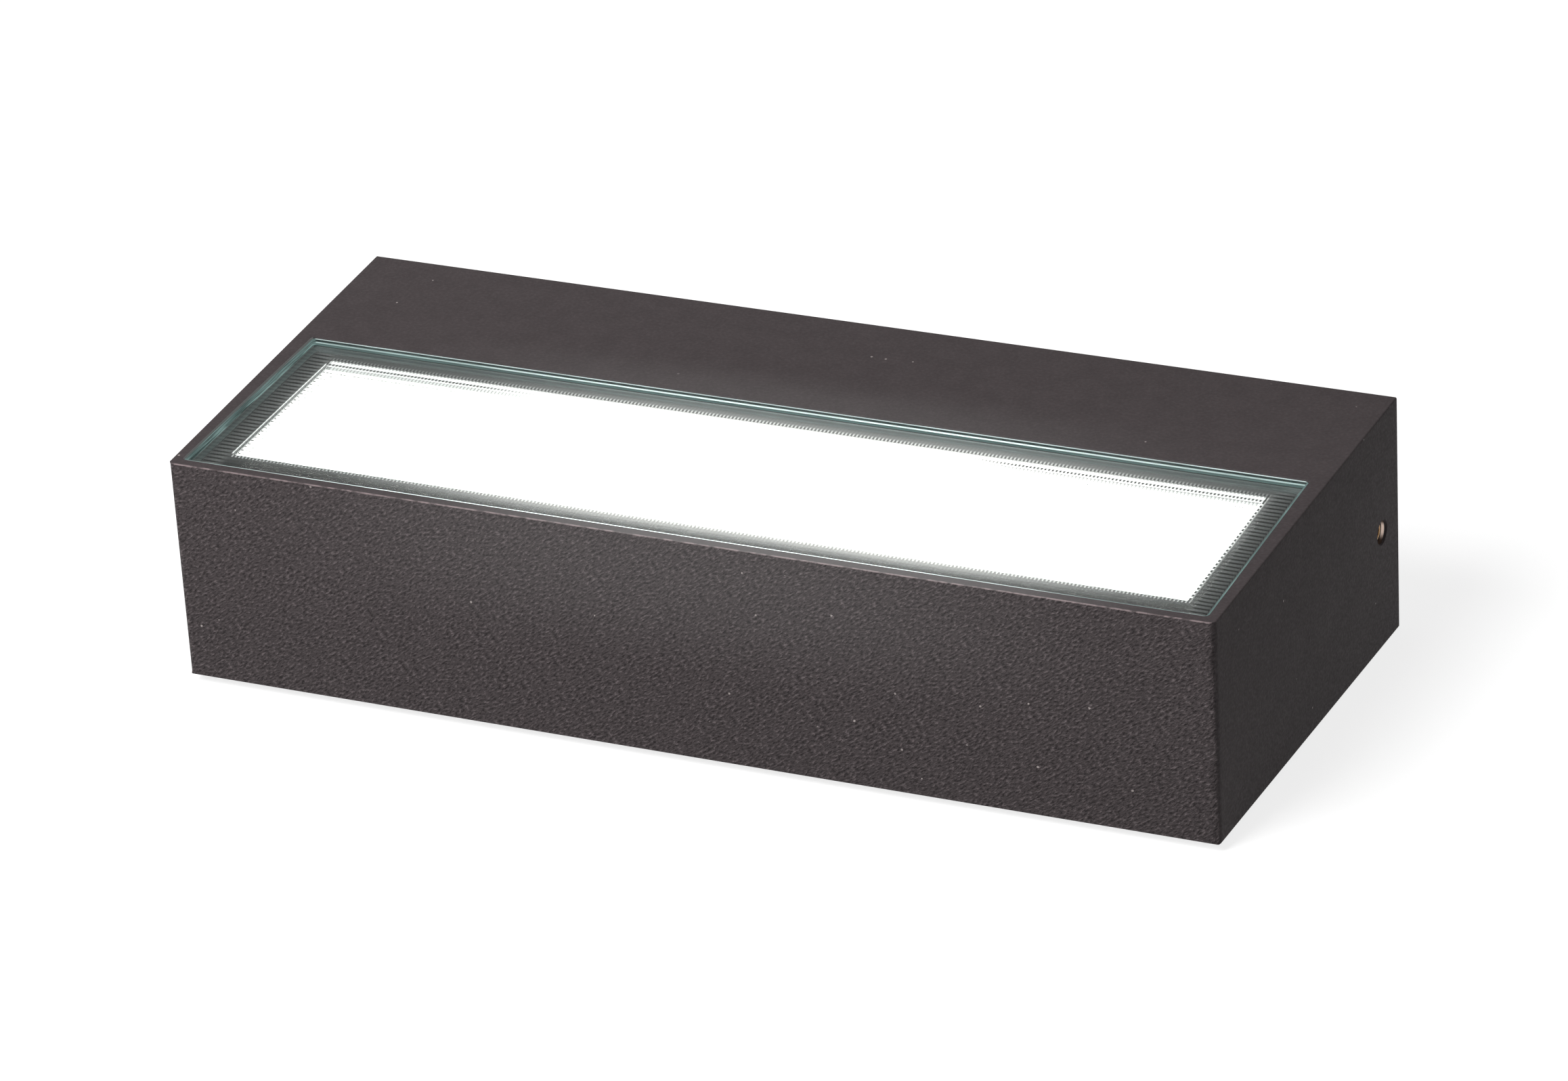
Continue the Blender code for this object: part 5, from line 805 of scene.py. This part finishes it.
def winding_tape():
    """Polyester tape wound round the coil: glossy yellow film with an edge at each turn."""
    material, tree, place = start_material("winding_tape")
    turns = add_node(tree, "TexWave", {
        "Vector": place, "Scale": per_metre(0.008), "Distortion": 0.3, "Detail": 1.0},
        bands_direction="Z", wave_profile="SAW")
    colour = add_node(tree, "Mix", (turns, linear("e6b722"), linear("c98f14")), data_type="RGBA")
    bump = add_node(tree, "Bump", {"Strength": 0.6, "Distance": 0.0001, "Height": turns})
    shader = add_node(tree, "BsdfPrincipled", {
        "Base Color": colour,
        "Roughness": add_node(tree, "MapRange", (turns, 0.0, 1.0, 0.22, 0.35), **SMOOTH),
        "IOR": 1.6, "Normal": bump})
    add_node(tree, "OutputMaterial", {"Surface": shader})
    return material


def vinyl_sleeve(name, colour, stripe=None):
    """Extruded vinyl insulation: a soft gloss, faint die lines along it, and a stripe or none."""
    material, tree, place = start_material(name)
    lines = add_node(tree, "TexNoise", {
        "Vector": place, "Scale": per_metre(0.0006), "Detail": 2.0})
    tone = add_node(tree, "Mix", (
        add_node(tree, "MapRange", (lines, 0.3, 0.7), **SMOOTH),
        shade(colour, 0.9), colour), data_type="RGBA")
    if stripe:
        bands = add_node(tree, "TexWave", {
            "Vector": place, "Scale": per_metre(0.016)}, bands_direction="Z")
        tone = add_node(tree, "Mix", (
            add_node(tree, "MapRange", (bands, 0.55, 0.65), **SMOOTH),
            tone, stripe), data_type="RGBA")
    bump = add_node(tree, "Bump", {"Strength": 0.3, "Distance": 0.00003, "Height": lines})
    shader = add_node(tree, "BsdfPrincipled", {
        "Base Color": tone,
        "Roughness": add_node(tree, "MapRange", (lines, 0.3, 0.7, 0.36, 0.46), **SMOOTH),
        "IOR": 1.53, "Normal": bump})
    add_node(tree, "OutputMaterial", {"Surface": shader})
    return material


# Pieces

def smooth_rounds_tree():
    """Modifier tree that joins the corners of a CAD mesh and shades its rounds smooth."""
    tree = bpy.data.node_groups.new("smooth_rounds", "GeometryNodeTree")
    tree.interface.new_socket("Geometry", in_out="INPUT", socket_type="NodeSocketGeometry")
    tree.interface.new_socket("Angle", in_out="INPUT", socket_type="NodeSocketFloat")
    tree.interface.new_socket("Geometry", in_out="OUTPUT", socket_type="NodeSocketGeometry")
    source = tree.nodes.new("NodeGroupInput")
    result = tree.nodes.new("NodeGroupOutput")
    join = tree.nodes.new("GeometryNodeMergeByDistance")
    join.inputs["Distance"].default_value = JOIN_DISTANCE
    plain = tree.nodes.new("GeometryNodeRemoveAttribute")
    plain.inputs["Name"].default_value = "custom_normal"
    faces = tree.nodes.new("GeometryNodeSetShadeSmooth")
    faces.domain = "FACE"
    edges = tree.nodes.new("GeometryNodeSetShadeSmooth")
    edges.domain = "EDGE"
    angle = tree.nodes.new("GeometryNodeInputMeshEdgeAngle")
    below = tree.nodes.new("FunctionNodeCompare")
    below.operation = "LESS_THAN"
    for output, target in (
        (source.outputs["Geometry"], join.inputs["Geometry"]),
        (join.outputs["Geometry"], plain.inputs["Geometry"]),
        (plain.outputs["Geometry"], faces.inputs["Geometry"]),
        (faces.outputs["Geometry"], edges.inputs["Geometry"]),
        (angle.outputs["Unsigned Angle"], below.inputs["A"]),
        (source.outputs["Angle"], below.inputs["B"]),
        (below.outputs["Result"], edges.inputs["Shade Smooth"]),
        (edges.outputs["Geometry"], result.inputs["Geometry"]),
    ):
        tree.links.new(output, target)
    return tree


def dress(names, material, angle=SMOOTH_BELOW):
    """Gives CAD nodes their material and smooth rounds. Their meshes stay as they are."""
    tree = bpy.data.node_groups.get("smooth_rounds") or smooth_rounds_tree()
    angle_input = next(s.identifier for s in tree.interface.items_tree
                       if s.name == "Angle" and s.in_out == "INPUT")
    for name in names:
        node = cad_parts[name]
        node.material_slots[0].material = material
        modifier = node.modifiers.new("smooth rounds", "NODES")
        modifier.node_group = tree
        modifier[angle_input] = angle


def nodes_named(*starts):
    """Names of the CAD nodes that start with one of these words."""
    return [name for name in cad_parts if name.startswith(starts)]


def new_piece(name, bm, materials, body, slot, *replaced):
    """Turns a bmesh in place into a piece that rides on a body and stands for CAD nodes."""
    bmesh.ops.recalc_face_normals(bm, faces=bm.faces)
    mesh = bpy.data.meshes.new(name)
    bm.to_mesh(mesh)
    bm.free()
    for material in materials:
        mesh.materials.append(material)
    piece = bpy.data.objects.new(name, mesh)
    bpy.context.scene.collection.objects.link(piece)
    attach(piece, body)
    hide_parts(*replaced)


def rounded_outline(length, width, radius, steps=6):
    """Points round a rectangle with rounded corners, counter-clockwise."""
    points = []
    for corner, (side_x, side_y) in enumerate(((1, 1), (-1, 1), (-1, -1), (1, -1))):
        for step in range(steps + 1):
            angle = math.radians(90) * (corner + step / steps)
            points.append((side_x * (length / 2 - radius) + radius * math.cos(angle),
                           side_y * (width / 2 - radius) + radius * math.sin(angle)))
    return points


def make_glass(settings):
    """Pane with chamfered edges: clear faces, ground edges."""
    bm = bmesh.new()
    bottom = -GLASS_DROP - settings.thickness
    cut = settings.chamfer
    levels = ((bottom, cut), (bottom + cut, 0.0), (-GLASS_DROP - cut, 0.0), (-GLASS_DROP, cut))
    rings = []
    for height, inset in levels:
        outline = rounded_outline(settings.length - 2 * inset, settings.width - 2 * inset,
                                  settings.corner - inset / 2)
        rings.append([bm.verts.new(TOP_FACE @ Vector((x, y, height))) for x, y in outline])
    bm.faces.new(reversed(rings[0]))
    bm.faces.new(rings[-1])
    for low, high in zip(rings, rings[1:]):
        for i in range(len(low)):
            j = (i + 1) % len(low)
            bm.faces.new((low[i], low[j], high[j], high[i])).material_index = 1
    new_piece("glass_pane_clear", bm, (float_glass(), ground_glass_edge(settings)),
              "lamp_body", "tempered_glass", "glass_pane")


def rib_profile(settings):
    """Points across the ribbed side of the sheet, and the numbers of those in a crease."""
    half = settings.width / 2
    ribs = int((settings.width - 2 * RIB_MARGIN) / settings.rib_pitch)
    start = -ribs * settings.rib_pitch / 2
    valley = COVER_TOP - settings.rib_height
    points = [(-half, valley)]
    for number in range(ribs):
        for step in range(RIB_STEPS):
            share = step / RIB_STEPS
            rise = settings.rib_height * (1 - (2 * share - 1) ** 2)
            points.append((start + (number + share) * settings.rib_pitch, valley + rise))
    points += [(-start, valley), (half, valley)]
    last = len(points) - 1
    return points, [0, *range(1, last, RIB_STEPS), last]


def make_sheet(settings):
    """Ribbed sheet: round ribs on top along its whole length, flat below, clear over the window."""
    bm = bmesh.new()
    profile, creases = rib_profile(settings)
    stations = (-settings.length / 2, LEFT_OVERLAP - WINDOW_LENGTH / 2,
                WINDOW_LENGTH / 2 - RIGHT_OVERLAP, settings.length / 2)
    tops = [[bm.verts.new(TOP_FACE @ Vector((x, y, z))) for y, z in profile] for x in stations]
    lows = [[bm.verts.new(TOP_FACE @ Vector((x, y, COVER_BOTTOM))) for y, z in profile]
            for x in stations]
    lengths = range(len(stations) - 1)
    strips = range(len(profile) - 1)
    for part in lengths:
        for i in strips:
            middle = (profile[i][0] + profile[i + 1][0]) / 2 - WINDOW_SHIFT
            border = (part != 1 or middle < FRONT_OVERLAP - WINDOW_WIDTH / 2
                      or middle > WINDOW_WIDTH / 2 - REAR_OVERLAP)
            top = bm.faces.new((tops[part][i], tops[part + 1][i],
                                tops[part + 1][i + 1], tops[part][i + 1]))
            low = bm.faces.new((lows[part][i], lows[part][i + 1],
                                lows[part + 1][i + 1], lows[part + 1][i]))
            top.smooth = True
            top.material_index = low.material_index = int(border)
        for i in (0, -1):
            bm.faces.new((tops[part][i], lows[part][i],
                          lows[part + 1][i], tops[part + 1][i])).material_index = 1
    for part in (0, -1):
        for i in strips:
            bm.faces.new((tops[part][i], tops[part][i + 1],
                          lows[part][i + 1], lows[part][i])).material_index = 1
    for part in lengths:
        for i in creases:
            bm.edges.get((tops[part][i], tops[part + 1][i])).smooth = False
    for row in (tops[0], tops[-1], lows[0], lows[-1]):
        for first, second in zip(row, row[1:]):
            bm.edges.get((first, second)).smooth = False
    new_piece("ribbed_sheet", bm, (clear_ribbed_acrylic(settings), acrylic_over_ledge(settings)),
              "lamp_body", "prismatic_sheet", "prismatic_cover")


# Stage

def soft_lamp(name, direction, distance, size, power):
    """Square area lamp that faces the light from a direction."""
    data = bpy.data.lights.new(name, "AREA")
    data.size = size
    data.energy = power
    lamp = bpy.data.objects.new(name, data)
    bpy.context.scene.collection.objects.link(lamp)
    away = Vector(direction).normalized()
    centre = (CAD_BOX[0] + CAD_BOX[1]) / 2
    lamp.location = centre + away * distance
    lamp.rotation_mode = "QUATERNION"
    lamp.rotation_quaternion = (-away).to_track_quat("-Z", "Y")


def seen_rays(tree):
    """Gives 1 for rays that show the backdrop: straight, mirrored or through glass."""
    path = add_node(tree, "LightPath")
    both = add_node(tree, "Math", (
        path.outputs["Is Camera Ray"], path.outputs["Is Glossy Ray"]), operation="MAXIMUM")
    return add_node(tree, "Math", (both, path.outputs["Is Transmission Ray"]), operation="MAXIMUM")


def make_room(settings):
    """Room light: a plain level on the object, white where the camera looks."""
    world = bpy.data.worlds.new("studio_room")
    bpy.context.scene.world = world
    world.use_nodes = True
    tree = world.node_tree
    tree.nodes.clear()
    path = add_node(tree, "LightPath")
    up = add_node(tree, "SeparateXYZ", (add_node(tree, "TexCoord").outputs["Generated"],))
    wall = add_node(tree, "MapRange", (up.outputs["Z"], 0.1, 0.35, 1.0, settings.sky), **SMOOTH)
    mirrored = add_node(tree, "Mix", (seen_rays(tree), settings.sky, wall), data_type="FLOAT")
    level = add_node(tree, "Mix", (path.outputs["Is Camera Ray"], mirrored, 1.0), data_type="FLOAT")
    background = add_node(tree, "Background", {"Color": (1.0, 1.0, 1.0, 1.0), "Strength": level})
    add_node(tree, "OutputWorld", {"Surface": background})


def seamless_paper(settings):
    """Seamless white paper, lit to white where it is seen; the object's shadow stays on it."""
    material, tree, place = start_material("seamless_paper")
    fibres = add_node(tree, "TexNoise", {"Vector": place, "Scale": per_metre(0.002), "Detail": 4.0})
    colour = tuple(settings.floor_colour)
    paper = add_node(tree, "Mix", (
        add_node(tree, "MapRange", (fibres, 0.3, 0.7), **SMOOTH),
        shade(colour, 0.99), colour), data_type="RGBA")
    plain = add_node(tree, "BsdfDiffuse", {"Color": paper})
    lifted = add_node(tree, "AddShader", (
        add_node(tree, "BsdfDiffuse", {"Color": linear("a0a0a0")}),
        add_node(tree, "Emission", {"Color": (1.0, 1.0, 1.0, 1.0), "Strength": 0.8})))
    shown = add_node(tree, "MixShader", (seen_rays(tree), plain, lifted))
    below = add_node(tree, "MixShader", (
        add_node(tree, "NewGeometry").outputs["Backfacing"], shown,
        add_node(tree, "BsdfTransparent")))
    add_node(tree, "OutputMaterial", {"Surface": below})
    return material


def make_floor(settings):
    """Large floor just under the light."""
    bm = bmesh.new()
    bmesh.ops.create_grid(bm, x_segments=8, y_segments=8, size=FLOOR_HALF)
    mesh = bpy.data.meshes.new("studio_floor")
    bm.to_mesh(mesh)
    bm.free()
    mesh.materials.append(seamless_paper(settings))
    floor = bpy.data.objects.new("studio_floor", mesh)
    floor.location.z = CAD_BOX[0].z - FLOOR_GAP
    bpy.context.scene.collection.objects.link(floor)


def make_camera():
    """Camera at the photograph's place."""
    data = bpy.data.cameras.new("camera")
    data.lens = CAMERA_LENS
    data.sensor_width = CAMERA_SENSOR
    data.clip_start, data.clip_end = CAMERA_CLIP
    camera = bpy.data.objects.new("camera", data)
    bpy.context.scene.collection.objects.link(camera)
    axes = Matrix((CAMERA_RIGHT, CAMERA_UP, CAMERA_BACK)).transposed().to_4x4()
    camera.matrix_world = Matrix.Translation(CAMERA_PLACE) @ axes
    bpy.context.scene.camera = camera


# Operators, one for each piece or group of like pieces

class WALLLIGHT_OT_stage(bpy.types.Operator):
    """Sets up the floor, the soft lamps, the room light and the camera"""
    bl_idname = "wall_light.stage"
    bl_label = "Stage"

    def execute(self, context):
        settings = context.scene.wall_light.stage
        context.scene.view_settings.view_transform = "Standard"
        make_camera()
        make_room(settings)
        make_floor(settings)
        soft_lamp("main_lamp", direction=(-0.38, -0.75, 0.98), distance=1.5, size=0.8,
                  power=settings.key)
        soft_lamp("front_lamp", direction=(-0.25, -1.0, 0.35), distance=2.4, size=1.0,
                  power=settings.fill)
        return {"FINISHED"}


class WALLLIGHT_OT_housing(bpy.types.Operator):
    """Powder-coats the cast housing"""
    bl_idname = "wall_light.housing"
    bl_label = "Housing"

    def execute(self, context):
        dress(["housing"], textured_powder_coat(context.scene.wall_light.housing))
        return {"FINISHED"}


class WALLLIGHT_OT_glass(bpy.types.Operator):
    """Builds the glass pane with its ground edges"""
    bl_idname = "wall_light.glass"
    bl_label = "Glass pane"

    def execute(self, context):
        make_glass(context.scene.wall_light.glass)
        return {"FINISHED"}


class WALLLIGHT_OT_sheet(bpy.types.Operator):
    """Builds the ribbed sheet under the glass"""
    bl_idname = "wall_light.sheet"
    bl_label = "Ribbed sheet"

    def execute(self, context):
        make_sheet(context.scene.wall_light.sheet)
        return {"FINISHED"}


class WALLLIGHT_OT_lamp(bpy.types.Operator):
    """Lights the opal panel and finishes the reflector frame and the light board"""
    bl_idname = "wall_light.lamp"
    bl_label = "Light source"

    def execute(self, context):
        settings = context.scene.wall_light.lamp
        dress(["opal_panel"], lit_opal_acrylic(settings))
        dress(["reflector_frame"], moulded(
            "white_polycarbonate", linear("eceae4"), roughness=0.42, grain=0.0005,
            height=0.00002, ior=1.58))
        dress(["led_board"], masked_board(
            "white_masked_aluminium", linear("e8e8e4"), linear("cfcfc8"),
            weave_height=0.000005, chips=True))
        dress(["led_connector"], moulded(
            "natural_nylon", linear("ded8c8"), roughness=0.38, grain=0.0006,
            height=0.00002, ior=1.53))
        return {"FINISHED"}


class WALLLIGHT_OT_bracket(bpy.types.Operator):
    """Finishes the sheet metal: the wall bracket and the gear tray"""
    bl_idname = "wall_light.bracket"
    bl_label = "Bracket and tray"

    def execute(self, context):
        dress(["wall_bracket", "gear_tray"], plated_metal(
            "zinc_plated_sheet", linear("bfc2c5"), linear("b3b7bd"), roughness=0.34,
            grain=0.0008, direction=(0.05, 1.0, 1.0)))
        return {"FINISHED"}


class WALLLIGHT_OT_side_screws(bpy.types.Operator):
    """Finishes the two set screws in the ends"""
    bl_idname = "wall_light.side_screws"
    bl_label = "Side screws"

    def execute(self, context):
        dress(nodes_named("side_screw"), nickel_set_screw())
        return {"FINISHED"}


class WALLLIGHT_OT_gear(bpy.types.Operator):
    """Finishes the driver and the terminal block"""
    bl_idname = "wall_light.gear"
    bl_label = "Driver and terminals"

    def execute(self, context):
        dress(["driver_case", "driver_lid"], moulded(
            "white_driver_case", linear("e6e4dd"), roughness=0.45, grain=0.0006,
            height=0.00003, ior=1.58))
        dress(["driver_board"], masked_board(
            "green_masked_epoxy", linear("1d5a38"), linear("3f8a5c"), weave_height=0.00001))
        dress(["driver_transformer"], winding_tape())
        dress(nodes_named("driver_capacitor"), vinyl_sleeve("capacitor_sleeve", linear("1b1c22")))
        dress(["terminal_block"], moulded(
            "white_nylon_block", linear("e2ded2"), roughness=0.4, grain=0.0007,
            height=0.00003, ior=1.53))
        dress([*nodes_named("terminal_clamp"), "earth_tag"], plated_metal(
            "drawn_brass", linear("d6b36a"), linear("b8924c"), roughness=0.3,
            grain=0.0005, direction=(1.0, 1.0, 0.1)))
        return {"FINISHED"}


class WALLLIGHT_OT_screws(bpy.types.Operator):
    """Finishes the zinc-plated screws and the earth washer"""
    bl_idname = "wall_light.screws"
    bl_label = "Inner screws"

    def execute(self, context):
        names = nodes_named("led_board_screw", "tray_screw", "driver_screw", "terminal_screw",
                            "terminal_fixing_screw", "earth_screw", "earth_washer")
        dress(names, plated_metal(
            "zinc_plated_screw", linear("d0d2d4"), linear("b7bbc4"), roughness=0.26,
            grain=0.0004, direction=(1.0, 1.0, 1.0)))
        return {"FINISHED"}


class WALLLIGHT_OT_leads(bpy.types.Operator):
    """Finishes the leads"""
    bl_idname = "wall_light.leads"
    bl_label = "Leads"

    def execute(self, context):
        for name, colour, stripe in (
            ("led_lead_red", "b3221d", None), ("led_lead_black", "1c1c1e", None),
            ("live_lead", "6b3f24", None), ("neutral_lead", "2757a8", None),
            ("earth_lead", "3d8b3a", "dfc93a"),
        ):
            sleeve = vinyl_sleeve(f"{name}_vinyl", linear(colour), stripe and linear(stripe))
            dress([name], sleeve, WIRE_SMOOTH_BELOW)
        return {"FINISHED"}


class WALLLIGHT_OT_seals(bpy.types.Operator):
    """Finishes the rubber and foam"""
    bl_idname = "wall_light.seals"
    bl_label = "Seals and bushes"

    def execute(self, context):
        dress(["glass_seal"], pressed_silicone(context.scene.wall_light.sheet))
        dress(["bracket_grommet", "tray_grommet", "led_grommet"], moulded(
            "black_rubber", linear("202022"), roughness=0.62, grain=0.0006,
            height=0.00004, ior=1.5))
        dress(["wall_seal"], closed_cell_foam())
        return {"FINISHED"}


OPERATORS = (
    WALLLIGHT_OT_stage, WALLLIGHT_OT_housing, WALLLIGHT_OT_glass, WALLLIGHT_OT_sheet,
    WALLLIGHT_OT_lamp, WALLLIGHT_OT_bracket, WALLLIGHT_OT_side_screws, WALLLIGHT_OT_gear,
    WALLLIGHT_OT_screws, WALLLIGHT_OT_leads, WALLLIGHT_OT_seals,
)


class WALLLIGHT_PT_panel(bpy.types.Panel):
    """Lists the settings and the steps that dress the light"""
    bl_label = "Wall light"
    bl_idname = "WALLLIGHT_PT_panel"
    bl_space_type = "VIEW_3D"
    bl_region_type = "UI"
    bl_category = "Wall light"

    def draw(self, context):
        settings = context.scene.wall_light
        for group_name in WallLightSettings.__annotations__:
            group = getattr(settings, group_name)
            box = self.layout.box()
            for name in group.__annotations__:
                box.prop(group, name)
        for operator in OPERATORS:
            self.layout.operator(operator.bl_idname)


CLASSES = (
    HousingSettings, GlassSettings, SheetSettings, LampSettings, StageSettings,
    WallLightSettings, *OPERATORS, WALLLIGHT_PT_panel,
)


def register():
    for each in CLASSES:
        bpy.utils.register_class(each)
    bpy.types.Scene.wall_light = bpy.props.PointerProperty(type=WallLightSettings)


def unregister():
    del bpy.types.Scene.wall_light
    for each in reversed(CLASSES):
        bpy.utils.unregister_class(each)


def main():
    """Dresses the light and its stage."""
    register()
    for operator in OPERATORS:
        group, name = operator.bl_idname.split(".")
        getattr(getattr(bpy.ops, group), name)()
    bpy.context.view_layer.update()


if __name__ == "__main__":
    main()
